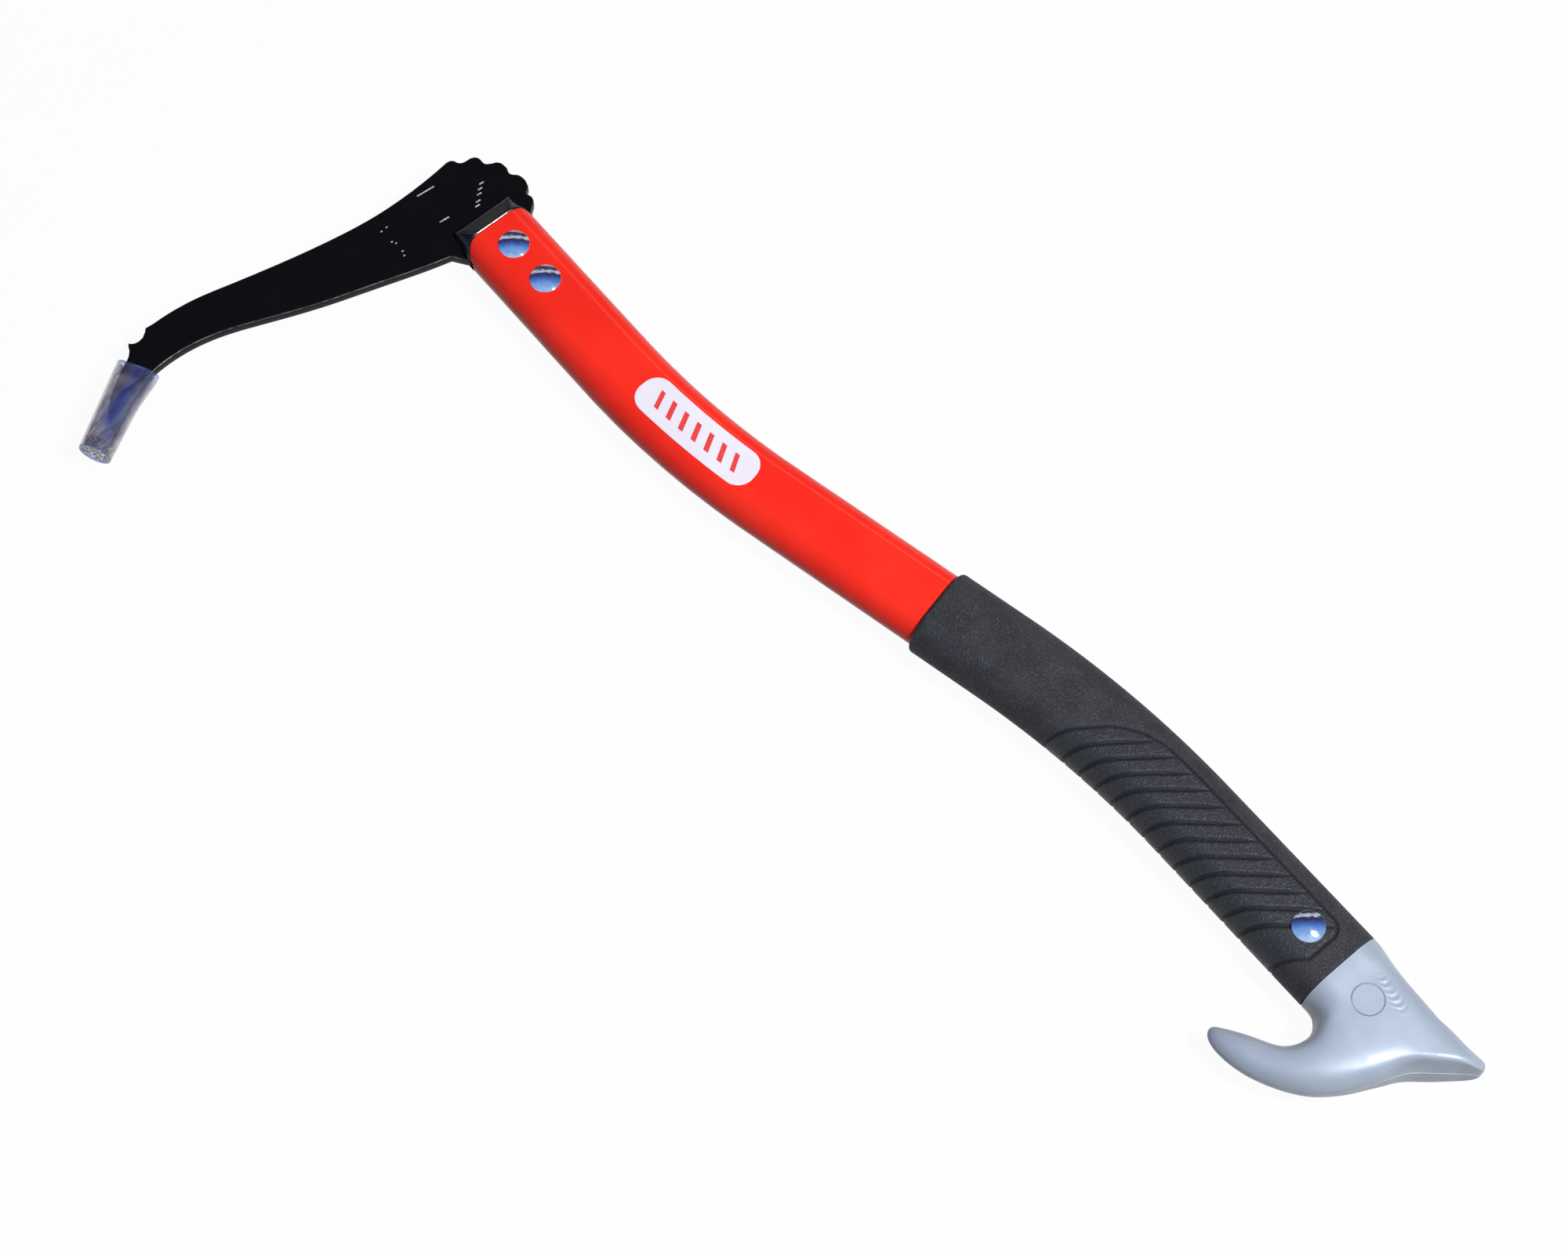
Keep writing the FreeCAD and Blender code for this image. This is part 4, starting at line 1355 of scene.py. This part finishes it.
@dataclass
class Grip:
    """The rubber grip: a plain front, and slanted grooves inside a border."""

    line: HandleLine
    section: Oval = Oval(34.0, 22.0)
    length: float = 188.4
    wall: float = 1.95
    lip: float = 1.5
    lip_steps: int = 7
    end_round: float = 0.45
    end_steps: int = 3
    bore_shown: float = 8.0
    bore_round: float = 0.25
    row_step: float = 0.42
    around: int = 224
    slope: float = 0.9
    straight_reach: float = -8.0
    pitch: float = 8.0
    first: float = 16.4
    count: int = 12
    front_gap: float = 0.6
    rail_reach: float = 8.85
    end_gap: float = 8.2
    front_corner: float = 11.0
    end_corner: float = 5.5
    groove_half: float = 0.92
    tip_half: float = 0.22
    groove_edge: Pair = (0.62, 1.0)
    groove_depth: float = 0.72
    tip_depth: float = 0.45
    tip_length: float = 7.0
    tip_clear: float = 0.8
    side_fade: float = 0.6
    side_edge: Pair = (7.0, 0.5)
    border_half: float = 0.75
    border_edge: float = 0.6
    border_depth: float = 0.5
    land_edge: Pair = (0.3, 1.2)
    crease_deg: float = 60.0

    def sweep(self, reach: np.ndarray) -> tuple[np.ndarray, np.ndarray]:
        """How far along the grip a groove runs, by reach.

        Args:
            reach: Distance round the section from the middle of the face.

        Returns:
            Distance along the grip, and its slope against the reach.
        """
        last = self.section.quarter() + self.straight_reach
        beyond = np.clip(self.straight_reach - reach, 0, last)
        eased = beyond - beyond ** 2 / (2 * last)
        along = self.slope * (np.maximum(reach, self.straight_reach) - eased)
        return along, self.slope * (1 - beyond / last)

    @staticmethod
    def round_corner(first: np.ndarray, second: np.ndarray, radius: float) -> np.ndarray:
        """Depth inside two edges whose corner is rounded, from the depth inside each."""
        short = np.hypot(np.maximum(radius - first, 0), np.maximum(radius - second, 0))
        return np.maximum(radius, np.minimum(first, second)) - short

    def pattern(self, station: np.ndarray, reach: np.ndarray) -> tuple[np.ndarray, np.ndarray, np.ndarray]:
        """Depth of the grooves and where the lands are.

        Args:
            station: Distances along the handle, as a column.
            reach: Distances round the section, as a row.

        Returns:
            Depth in millimetres, groove share and land share.
        """
        along, slope = self.sweep(reach)
        straight = 1 / np.sqrt(1 + slope ** 2)
        back = self.line.length() - station
        from_front = (self.first + self.pitch * self.count + self.front_gap - back - along) * straight
        from_end = back - self.end_gap + np.minimum(0, along - self.slope * self.straight_reach)
        depth_in = self.round_corner(from_front, self.rail_reach - reach, self.front_corner)
        depth_in = self.round_corner(depth_in, from_end, self.end_corner)
        share = 1 - smooth_step(self.border_half * self.border_edge, self.border_half, np.abs(depth_in))
        depth = self.border_depth * share
        within = smooth_step(0.0, self.tip_length, depth_in)
        clear = smooth_step(0.0, self.tip_clear, depth_in)
        half = self.tip_half + (self.groove_half - self.tip_half) * within
        low, high = (self.section.quarter() - gap for gap in self.side_edge)
        fade = 1 - self.side_fade * smooth_step(low, high, -reach)
        deep = self.groove_depth * (self.tip_depth + (1 - self.tip_depth) * within) * clear * fade
        for index in range(self.count):
            away = np.abs((self.first + self.pitch * index - back - along) * straight)
            cut = 1 - smooth_step(*self.groove_edge, away / half)
            depth = np.maximum(depth, deep * cut)
            share = np.maximum(share, cut * clear)
        return depth, share, smooth_step(*self.land_edge, depth_in) * (1 - share)

    def build(self) -> None:
        """Make the sleeve with its grooves as real relief."""
        ring, end = self.section.around(self.around), self.line.length()
        start = end - self.length
        profile = [(start + self.bore_shown, self.wall), (start + self.bore_round, self.wall)]
        profile += [(start, self.wall - self.bore_round)]
        profile += [(start + along, inset) for along, inset in edge_round(self.lip, self.lip_steps)]
        count = int((self.length - self.lip - self.end_round) / self.row_step)
        body = np.linspace(start + self.lip, end - self.end_round, count)[1:-1]
        profile += [(station, 0.0) for station in body]
        profile += [(end - along, inset) for along, inset in edge_round(self.end_round, self.end_steps)[::-1]]
        profile += [(end, self.wall), (end - self.bore_shown, self.wall)]
        stations, insets = np.array(profile).T[:, :, None]
        depth, groove, land = self.pattern(stations, ring.reach[None])
        shown = insets < self.lip * 0.9
        points = self.line.place(stations, *ring.drawn_in(insets + np.where(shown, depth, 0.0)))
        piece = make_object("grip", points, grid_faces(len(profile), self.around, True), self.crease_deg)
        present(piece, Body.TOOL, Slot.GRIP, Rubber(), ("grip_sleeve",), groove=groove * shown, land=land * shown)


def membrane(plan: np.ndarray, triangles: np.ndarray, held: np.ndarray, level: np.ndarray) -> np.ndarray:
    """Rise of an evenly loaded skin over a plan; half the square of a rounded body's height.

    Args:
        plan: Places in plan.
        triangles: Corner numbers of the plan's triangles.
        held: Whether each place is held at its level.
        level: Level of the held places.

    Returns:
        Rise at each place.
    """
    size = len(plan)
    starts, ends, pulls, area = [], [], [], np.zeros(size)
    for turn in range(3):
        i, j, k = (triangles[:, (turn + step) % 3] for step in range(3))
        a, b = plan[i] - plan[k], plan[j] - plan[k]
        cross = np.abs(a[:, 0] * b[:, 1] - a[:, 1] * b[:, 0])
        starts.append(i)
        ends.append(j)
        pulls.append(np.sum(a * b, axis=1) / np.maximum(cross, 1e-12) / 2)
        area += np.bincount(i, cross / 6, size)
    start, end, pull = np.concatenate(starts), np.concatenate(ends), np.concatenate(pulls)

    def pulled(rise: np.ndarray) -> np.ndarray:
        """Net pull on each place at a rise."""
        flow = pull * (rise[start] - rise[end])
        return np.bincount(start, flow, size) - np.bincount(end, flow, size)

    rise = np.where(held, level, 0.0)
    rest = np.where(held, 0.0, area - pulled(rise))
    step, power = rest.copy(), float(rest @ rest)
    for _ in range(3 * int(math.sqrt(size)) + 900):
        answer = np.where(held, 0.0, pulled(step))
        length = power / max(float(step @ answer), 1e-30)
        rise += length * step
        rest -= length * answer
        fresh = float(rest @ rest)
        if fresh < 1e-14 * size:
            break
        step, power = rest + fresh / power * step, fresh
    return np.maximum(rise, 0)


@dataclass
class Edge:
    """The butt's outline in plan: its points, and at each of them what the upright wall does.

    The wall has a half height, and its upper, lower and middle parts are drawn in by flare, low_flare and scoop.
    """

    chain: np.ndarray
    normal: np.ndarray
    wall: np.ndarray
    flare: np.ndarray
    low_flare: np.ndarray
    scoop: np.ndarray


@dataclass
class Butt:
    """The plastic butt: heel, flat sole and hanging horn."""

    line: HandleLine
    grip: Oval = Oval(34.0, 22.0)
    joint: float = 0.12
    joint_clear: float = 0.15
    horn_side: float = -18.0
    near_side: float = -24.0
    loop_step: float = 0.3
    outline_step: float = 0.6
    grid_step: float = 0.85
    grid_clear: float = 0.95
    edge_gaps: Pair = (0.28, 0.6)
    full_height: float = 10.9
    cap_power: float = 4.5
    blend_length: float = 12.0
    ring_station: float = 14.8
    ring_side: float = -2.3
    ring_radius: float = 5.6
    ring_lines: tuple = (-0.22, -0.07, 0.07, 0.22)
    ring_around: int = 96
    ring_clear: float = 0.5
    ring_depth: float = 0.2
    ring_edge: Pair = (0.05, 0.2)
    ring_shade_edge: Pair = (0.08, 0.25)
    ring_level: float = 5.0
    seam: float = 0.16
    seam_rise: float = 0.10
    wall_least: float = 0.22
    wall_shares: tuple = (0.8, 0.6, 0.4, 0.2, 0.0)
    upper_bend: float = 0.7
    lower_bend: float = 2.0
    wall_points: tuple = ((4.5, -48.1, 0.25), (17.9, -40.8, 1.0), (27.0, -32.9, 2.4), (32.5, -24.4, 3.4),
                          (35.5, -19.0, 5.0), (38.4, -14.0, 8.0), (41.3, -10.1, 9.9), (47.4, -4.1, 10.4),
                          (52.2, 0.7, 9.8), (56.3, 4.7, 6.8), (57.8, 7.0, 2.2))
    scoop_points: tuple = ((27.0, -32.9, 0.0), (32.5, -24.4, 0.3), (37.0, -16.0, 0.7), (41.3, -10.1, 1.3),
                           (47.4, -4.1, 1.2), (52.2, 0.7, 0.9), (56.3, 4.7, 0.6), (57.8, 7.0, 0.2))
    edge_points: tuple = ((35.5, -19.0, 0.0), (41.3, -10.1, 0.8), (47.4, -4.1, 0.9), (52.2, 0.7, 0.9),
                          (57.8, 7.0, 0.3))
    ridge_points: tuple = ((32.5, -24.4, 0.0), (35.5, -19.0, 0.8), (38.4, -14.0, 2.6), (41.3, -10.1, 3.6),
                           (47.4, -4.1, 3.3), (52.2, 0.7, 2.6), (56.3, 4.7, 1.2), (57.8, 7.0, 0.4))
    point_turns: int = 30
    shoulder: float = 0.9
    shoulder_flare: float = 2.0
    shoulder_reach: float = 1.6
    back_reach: float = 7.0
    edge_turns: int = 6
    hollow_turns: int = 45
    hollow_sides: tuple = ((-36.0, -30.0), (-17.0, -14.0))
    hollow_past: Pair = (14.0, 20.0)
    ripple_start: Pair = (422.6, 8.9)
    ripple_end: Pair = (435.4, 4.9)
    ripple_bend: float = 0.24
    ripple_half: float = 1.7
    ripple_spread: float = 0.07
    crease_deg: float = 34.0

    def tail(self, plan: np.ndarray) -> tuple[np.ndarray, np.ndarray]:
        """Distance past the tube's end, and side, of places in plan."""
        point, way = self.line.tail()
        return (plan - point) @ way, (plan - point) @ (way @ LEFT)

    def ring_gap(self, plan: np.ndarray) -> np.ndarray:
        """Distance of places in plan from the moulded ring's line."""
        return np.abs(np.linalg.norm(plan - self.ring_centre(), axis=1) - self.ring_radius)

    def ring_centre(self) -> np.ndarray:
        """Middle of the moulded ring in plan."""
        return self.line.plan(self.line.length() + self.ring_station, self.ring_side)

    def outline(self) -> np.ndarray:
        """Draw an open line round the butt in plan, from one end of the joint to the other.

        Returns:
            Its points, which are smoothed most in the horn's hollow.
        """
        loop = self.line.cut("butt_hook", 0.03, self.loop_step)
        past, side = self.tail(loop)
        kept = (past > self.joint) | (side < self.horn_side)
        first = int(np.argmax(kept & ~np.roll(kept, 1)))
        smooth = walk_evenly(np.roll(loop, -first, axis=0)[np.roll(kept, -first)], self.outline_step)
        past, side = self.tail(smooth)
        low, high = self.hollow_sides
        hollow = smooth_step(*low, side) * (1 - smooth_step(*high, side)) * (1 - smooth_step(*self.hollow_past, past))
        for turn in range(self.hollow_turns):
            mean = smooth[1:-1] / 2 + (smooth[:-2] + smooth[2:]) / 4
            share = np.maximum(hollow[1:-1, None], float(turn < self.edge_turns))
            smooth[1:-1] += share * (mean - smooth[1:-1])
        return walk_evenly(smooth, self.outline_step)

    def along_outline(self, chain: np.ndarray, table: Sequence[Spot]) -> np.ndarray:
        """Spread values that are known at a few places smoothly along the outline.

        Args:
            chain: The outline.
            table: Place from the tube's end in plan, and the value there.

        Returns:
            One value for each point of the outline.
        """
        end, _ = self.line.tail()
        known = sorted((int(np.argmin(np.linalg.norm(chain - end - (x, y), axis=1))), value) for x, y, value in table)
        marks, given = zip(*known)
        values = np.interp(np.arange(len(chain)), marks, given)
        for _ in range(self.point_turns):
            values[1:-1] = values[1:-1] / 2 + (values[:-2] + values[2:]) / 4
        return values

    def build(self) -> None:
        """Make the butt as two rounded shells that meet at the parting line."""
        chain = self.outline()
        tables = (self.wall_points, self.ridge_points, self.edge_points, self.scoop_points)
        wall, *drawn = (self.along_outline(chain, table) for table in tables)
        edge = Edge(chain, outward(chain, False), np.maximum(wall, self.wall_least), *drawn)
        top_edge = chain - edge.normal * edge.flare[:, None]
        loop = np.concatenate([top_edge, even_steps(top_edge[[-1, 0]], self.outline_step, False)[1:-1]])
        plan, triangles = fill_plan(loop, self.inner_places(edge, top_edge, loop))
        height = self.heights(plan, triangles, edge.wall)
        away = np.linalg.norm(plan[:, None] - top_edge[None], axis=2)
        nearest, gap = away.argmin(axis=1), away.min(axis=1)
        rounded = self.shoulder * np.clip(edge.flare / self.shoulder_flare, 0, 1)
        height = height - rounded[nearest] * np.clip(1 - gap / self.shoulder_reach, 0, 1) ** 2
        spare = (edge.flare - edge.low_flare)[nearest] * (1 - smooth_step(0.0, self.back_reach, gap))
        upper = np.column_stack([plan, height])
        lower = np.column_stack([plan + edge.normal[nearest] * spare[:, None], -height])
        self.shell(edge, upper, lower, triangles, len(loop))

    def inner_places(self, edge: Edge, top_edge: np.ndarray, loop: np.ndarray) -> np.ndarray:
        """Choose the places that the shells have inside their outline.

        Args:
            edge: The outline and its wall.
            top_edge: The wall's upper edge in plan.
            loop: The same edge, closed across the joint.

        Returns:
            Places in plan: rows beside the edge, rings at the moulded ring and a grid.
        """
        turn = unit(np.arange(self.ring_around) / self.ring_around * 2 * math.pi)
        rings = [top_edge - edge.normal * gap for gap in self.edge_gaps]
        rings += [self.ring_centre() + (self.ring_radius + off) * turn for off in self.ring_lines]
        rings = np.concatenate(rings)
        past, side = self.tail(rings)
        rings = rings[(past > self.joint + self.joint_clear) | (side < self.horn_side)]
        grid = grid_inside(loop, self.grid_step, self.grid_clear)
        return np.concatenate([rings, grid[self.ring_gap(grid) > self.ring_clear]])

    def heights(self, plan: np.ndarray, triangles: np.ndarray, wall: np.ndarray) -> np.ndarray:
        """Height of the upper shell.

        Args:
            plan: Places in plan, the outline's first.
            triangles: Corner numbers of the plan's triangles.
            wall: Half height of the upright wall at the outline.

        Returns:
            Height above the parting plane.
        """
        edge, power, level = len(wall), self.cap_power, np.zeros(len(plan))
        level[:edge] = (wall ** -power - self.full_height ** -power) ** (-2 / power) / 2
        free = np.sqrt(2 * membrane(plan, triangles, np.arange(len(plan)) < edge, level))
        capped = (np.maximum(free, 1e-3) ** -power + self.full_height ** -power) ** (-1 / power)
        past, side = self.tail(plan)
        near = (1 - smooth_step(0.0, self.blend_length, past)) * smooth_step(self.near_side, self.horn_side, side)
        height = capped * (1 - near) + np.maximum(self.grip.height_at(side), 0.2) * near
        height[:edge] = np.where(near[:edge] > 0.02, np.minimum(height[:edge], wall), wall)
        return height - self.ring_depth * (1 - smooth_step(*self.ring_edge, self.ring_gap(plan)))

    def shell(self, edge: Edge, upper: np.ndarray, lower: np.ndarray, triangles: np.ndarray, around: int) -> None:
        """Join both shells, the upright walls with their parting line, and the joint's face.

        Args:
            edge: The outline and its wall.
            upper: Places of the upper shell, the outline's first.
            lower: Places of the lower shell.
            triangles: Corner numbers of both shells' triangles.
            around: How many places lie on the outline and across the joint.
        """
        size, count = len(upper), len(edge.chain)
        faces = [tuple(face) for face in triangles] + [tuple(face[::-1] + size) for face in triangles]
        points = [upper, lower]
        levels = [(share, 1) for share in self.wall_shares] + [(0.0, 0)]
        levels += [(share, -1) for share in self.wall_shares[::-1]]
        for share, up in levels:
            flare, bend = (edge.flare, self.upper_bend) if up > 0 else (edge.low_flare, self.lower_bend)
            lift = share * edge.wall + (1 - share) * self.seam
            curve = (lift / edge.wall) ** bend
            drawn = edge.scoop + (flare - edge.scoop) * curve if up else edge.scoop - self.seam_rise
            ring = edge.chain - edge.normal * drawn[:, None]
            points.append(np.column_stack([ring, up * np.minimum(lift, upper[:count, 2])]))
        starts = [0, *(2 * size + count * index for index in range(len(levels))), size]
        for one, other in zip(starts, starts[1:]):
            faces += [(one + i, one + i + 1, other + i + 1, other + i) for i in range(count - 1)]
        last = [count - 1, *range(count, around), 0]
        faces += [(a, b, b + size, a + size) for a, b in zip(last, last[1:])]
        faces += [tuple(start + count - 1 for start in starts), tuple(starts[::-1])]
        points = np.concatenate(points)
        piece = make_object("butt", self.line.to_frame(points), faces, self.crease_deg)
        present(piece, Body.TOOL, Slot.BUTT, PearlPlastic(), ("butt_hook",), **self.marks(points))

    def marks(self, points: np.ndarray) -> dict[str, np.ndarray]:
        """Find the ring's line, which gets painted shade, the parting line and the flow ripples.

        Args:
            points: Corners of the butt, in millimetres from the mouth.

        Returns:
            The numbers to store, by their names.
        """
        start, end = np.array(self.ripple_start), np.array(self.ripple_end)
        reach = np.linalg.norm(end - start)
        way = (end - start) / reach
        away = points[:, :2] - start
        aside = away @ (way @ LEFT)
        along = away @ way + self.ripple_bend * aside ** 2
        share = np.exp(-(aside / (self.ripple_half + self.ripple_spread * np.clip(along, 0, reach))) ** 2)
        share *= smooth_step(-2.0, 0.5, along) * (1 - smooth_step(reach - 1, reach + 2, along))
        level = np.abs(points[:, 2])
        # Where the pearl plastic paints shade in the moulded ring's groove.
        line = (1 - smooth_step(*self.ring_shade_edge, self.ring_gap(points[:, :2]))) * (level > self.ring_level)
        return {"line": line, "seam": level < 1e-6, "ripple_along": along, "ripple_share": share}


@dataclass
class PointGuard:
    """The clear guard, flat at its mouth and round at its end."""

    line: HandleLine
    round_width: float = 12.5
    round_thickness: float = 12.0
    flat_thickness: float = 7.6
    taper: float = 16.0
    lean: float = 0.8
    wall: float = 1.0
    rim: float = 0.3
    rim_steps: int = 3
    rim_reflection_edge: Pair = (0.3, 1.1)
    bore_end: float = 4.5
    # Where the painted blue reflection runs down the guard's middle.
    core_side: float = 1.3
    core_half: float = 3.4
    core_fade: Pair = (0.62, 0.92)
    around: int = 88
    rows: int = 46
    crease_deg: float = 70.0
    way: np.ndarray = field(init=False)
    across: np.ndarray = field(init=False)
    mouth: np.ndarray = field(init=False)
    length: float = field(init=False)
    flat_width: float = field(init=False)

    def __post_init__(self) -> None:
        """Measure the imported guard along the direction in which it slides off, and across it."""
        joint = next(joint for joint in frame["joints"] if joint["child"] == Body.GUARD.value)
        way = np.array(joint["axis"][:2], float)
        self.way = way / np.linalg.norm(way)
        self.across = self.way @ LEFT
        plan = np.array([vertex.co[:2] for vertex in frame["nodes"]["tip_guard"].data.vertices])
        plan = (plan - self.line.origin[:2]) / MM
        along, side = plan @ self.way, plan @ self.across
        self.mouth = along.min() * self.way + (side.min() + side.max()) / 2 * self.across
        self.length, self.flat_width = along.max() - along.min(), side.max() - side.min()

    def ring(self, distance: float, inset: float) -> np.ndarray:
        """One ring of the guard.

        Args:
            distance: How far from the mouth.
            inset: How far inside the outer skin.

        Returns:
            Points in millimetres from the tube's mouth.
        """
        blend = (1 - math.cos(math.pi * min(max(distance / self.taper, 0.0), 1.0))) / 2
        spare = self.round_width - self.flat_width
        right = (self.flat_width + spare * blend) / 2
        left = self.flat_width / 2 + self.lean + (spare - 2 * self.lean) / 2 * distance / self.length
        thickness = self.flat_thickness + (self.round_thickness - self.flat_thickness) * blend
        side, height = Oval(right + left, thickness).around(self.around).drawn_in(inset)
        plan = self.mouth + distance * self.way + (side[:, None] + (right - left) / 2) * self.across
        return np.column_stack([plan, height])

    def build(self) -> None:
        """Make the guard as one closed skin with round rims."""
        length, near = self.length, edge_round(self.rim, self.rim_steps)
        stops = np.linspace(self.rim, length - self.rim, self.rows)[1:-1]
        outer = near + [(stop, 0.0) for stop in stops] + [(length - along, inset) for along, inset in near[::-1]]
        inner = [(length - along, self.wall - inset) for along, inset in near]
        inner += [(stop, self.wall) for stop in stops[::-1]]
        inner += [(along, self.wall - inset) for along, inset in near[::-1]]
        profile = outer + inner
        points = np.concatenate([self.ring(distance, inset) for distance, inset in profile])
        faces, last = grid_faces(len(profile), self.around, True), (len(profile) - 1) * self.around
        faces += [(last + i, last + (i + 1) % self.around, (i + 1) % self.around, i) for i in range(self.around)]
        piece = make_object("clear_guard", self.line.to_frame(points), faces, self.crease_deg)
        distance, inset = np.repeat(np.array(profile), self.around, axis=0).T
        away = points[:, :2] - self.mouth
        aside = (away @ self.across - self.core_side) / self.core_half
        low, high = (length * share for share in self.core_fade)
        # The rim and middle shares mark where the vinyl paints reflection of a blue sky.
        present(piece, Body.GUARD, Slot.GUARD, ClearVinyl(), ("tip_guard",),
                rim=1 - smooth_step(*self.rim_reflection_edge, np.minimum(distance, length - distance)),
                bore_end=(inset > self.wall - 0.01) & (distance > length - self.bore_end),
                core=np.exp(-aside ** 2) * (1 - smooth_step(low, high, away @ self.way)))


@dataclass
class Studio:
    """Pale floor, one soft key light, a plain sky and the camera."""

    floor_size: float = 6.0
    paper: Colour = srgb(112, 112, 114)
    paper_shade: Colour = srgb(108, 108, 110)
    paper_cloud: Cloud = Cloud(40.0, detail=2.0)
    paper_dull: float = 0.9
    paper_specular: float = 0.1
    paper_glow: float = 1.17
    glow_share: float = 0.82
    lens: float = 76.3
    shift: float = -0.009
    eye: Spot = (0.318279, -0.298603, 1.08167)
    aim: Spot = (-0.011531, 0.034817, 0.0128)
    key_way: Spot = (0.487, 0.176, 0.857)
    key_distance: float = 1.7
    key_size: float = 0.30
    key_power: float = 31.0
    white: Colour = (1.0, 1.0, 1.0, 1.0)
    sky: Colour = (0.15, 0.15, 0.1575, 1.0)
    skyline_way: Spot = (-0.70, 0.714, 0.0)
    skyline_rough: Cloud = Cloud(1 / (2.6 * MM), rough=0.6)
    skyline_height: float = 0.30
    skyline: tuple = ((0.0, srgb(150, 190, 240)), (0.12, srgb(205, 224, 250)), (0.26, srgb(196, 216, 246)),
                      (0.40, srgb(150, 190, 240)), (0.54, srgb(124, 168, 226)), (0.66, srgb(86, 122, 202)),
                      (0.76, srgb(64, 78, 138)), (0.80, srgb(52, 50, 92)), (0.845, srgb(70, 66, 104)),
                      (0.87, srgb(216, 218, 226)), (0.91, srgb(190, 192, 204)), (0.93, srgb(58, 62, 84)),
                      (0.97, srgb(70, 76, 100)), (1.0, srgb(200, 204, 214)))

    def floor(self) -> None:
        """Make the floor, white to the eye and in reflections, with the tool's shadow on it."""
        half = self.floor_size / 2
        corners = np.array([(-half, -half, 0), (half, -half, 0), (half, half, 0), (-half, half, 0)])
        piece = make_object("floor", corners, [(0, 1, 2, 3)])
        sketch = Sketch(bpy.data.materials.new("floor_paper"))
        paper = sketch.blend(sketch.cloud(self.paper_cloud), self.paper, self.paper_shade)
        sketch.surface(Base_Color=paper, Roughness=self.paper_dull, Specular_IOR_Level=self.paper_specular)
        rays = sketch.add("LightPath", 0, {}).node.outputs
        mirrored = sketch.sum("ADD", rays["Is Camera Ray"], rays["Is Glossy Ray"])
        seen = sketch.sum("ADD", mirrored, rays["Is Transmission Ray"], True)
        glow = sketch.add("Emission", "Emission", {"Color": self.white, "Strength": self.paper_glow})
        plain, share = sketch.shader.outputs["BSDF"], sketch.times(seen, self.glow_share)
        sketch.put(sketch.output.inputs["Surface"], sketch.add("MixShader", 0, {0: share, 1: plain, 2: glow}))
        piece.data.materials.append(sketch.owner)

    def world(self) -> None:
        """Make the sky: white to the eye, and in reflections a dark skyline under a blue dome."""
        world = bpy.data.worlds.new("studio")
        bpy.context.scene.world = world
        sketch = Sketch(world)
        place = sketch.add("TexCoord", "Generated", {})
        lean = sketch.add("VectorMath", "Value", {0: place, 1: self.skyline_way}, operation="DOT_PRODUCT")
        rough = sketch.sum("SUBTRACT", sketch.noise(self.skyline_rough, place), 0.5)
        far = sketch.sum("ADD", lean, sketch.times(rough, self.skyline_height))
        dome = sketch.steps(sketch.times(sketch.sum("ADD", far, 1.0), 0.5), self.skyline)
        rays = sketch.add("LightPath", 0, {}).node.outputs
        clear = sketch.sum("ADD", rays["Is Camera Ray"], rays["Is Transmission Ray"], True)
        mirrored = sketch.blend(rays["Is Glossy Ray"], self.sky, dome)
        back = sketch.add("Background", 0, {"Color": sketch.blend(clear, mirrored, self.white)})
        sketch.put(sketch.output.inputs["Surface"], back)

    def lights(self) -> None:
        """Place the soft key light."""
        light = bpy.data.lights.new("key", "AREA")
        light.shape = "DISK"
        light.size = self.key_size
        light.energy = self.key_power
        lamp = bpy.data.objects.new("key", light)
        way = Vector(self.key_way).normalized()
        lamp.location = way * self.key_distance
        lamp.rotation_euler = way.to_track_quat("Z", "Y").to_euler()
        bpy.context.scene.collection.objects.link(lamp)

    def camera(self) -> None:
        """Place the camera where the photograph was taken from."""
        data = bpy.data.cameras.new("camera")
        data.lens = self.lens
        data.shift_x = self.shift
        camera = bpy.data.objects.new("camera", data)
        camera.location = Vector(self.eye)
        camera.rotation_euler = (Vector(self.eye) - Vector(self.aim)).to_track_quat("Z", "Y").to_euler()
        bpy.context.scene.collection.objects.link(camera)
        bpy.context.scene.camera = camera

    def build(self) -> None:
        """Make everything round the tool."""
        self.camera()
        self.floor()
        self.world()
        self.lights()
        bpy.context.scene.view_settings.view_transform = "Standard"


def main() -> None:
    """Build every piece of the tool and the studio round it."""
    logging.basicConfig(level=logging.INFO, format="%(name)s: %(message)s")
    stations = {"rivet_mouth": 12.2, "rivet_tang": 30.9, "rivet_grip": HandleLine().length() - 16.3}
    seats = {"rivet_mouth": 9.0, "rivet_tang": 9.0, "rivet_grip": 11.0}
    line = HandleLine.settle({name + "_post": station for name, station in stations.items()})
    Studio().build()
    mouth, guard = Mouth(), PointGuard(line)
    HookPlate(line).build(guard)
    StampedMarks(line).build()
    Collar(line, mouth).build()
    Tube(line, mouth).build()
    Label(line).build()
    for name, station in stations.items():
        Rivet(line, name, station, seats[name]).build()
    Grip(line).build()
    Butt(line).build()
    guard.build()


if __name__ == "__main__":
    main()
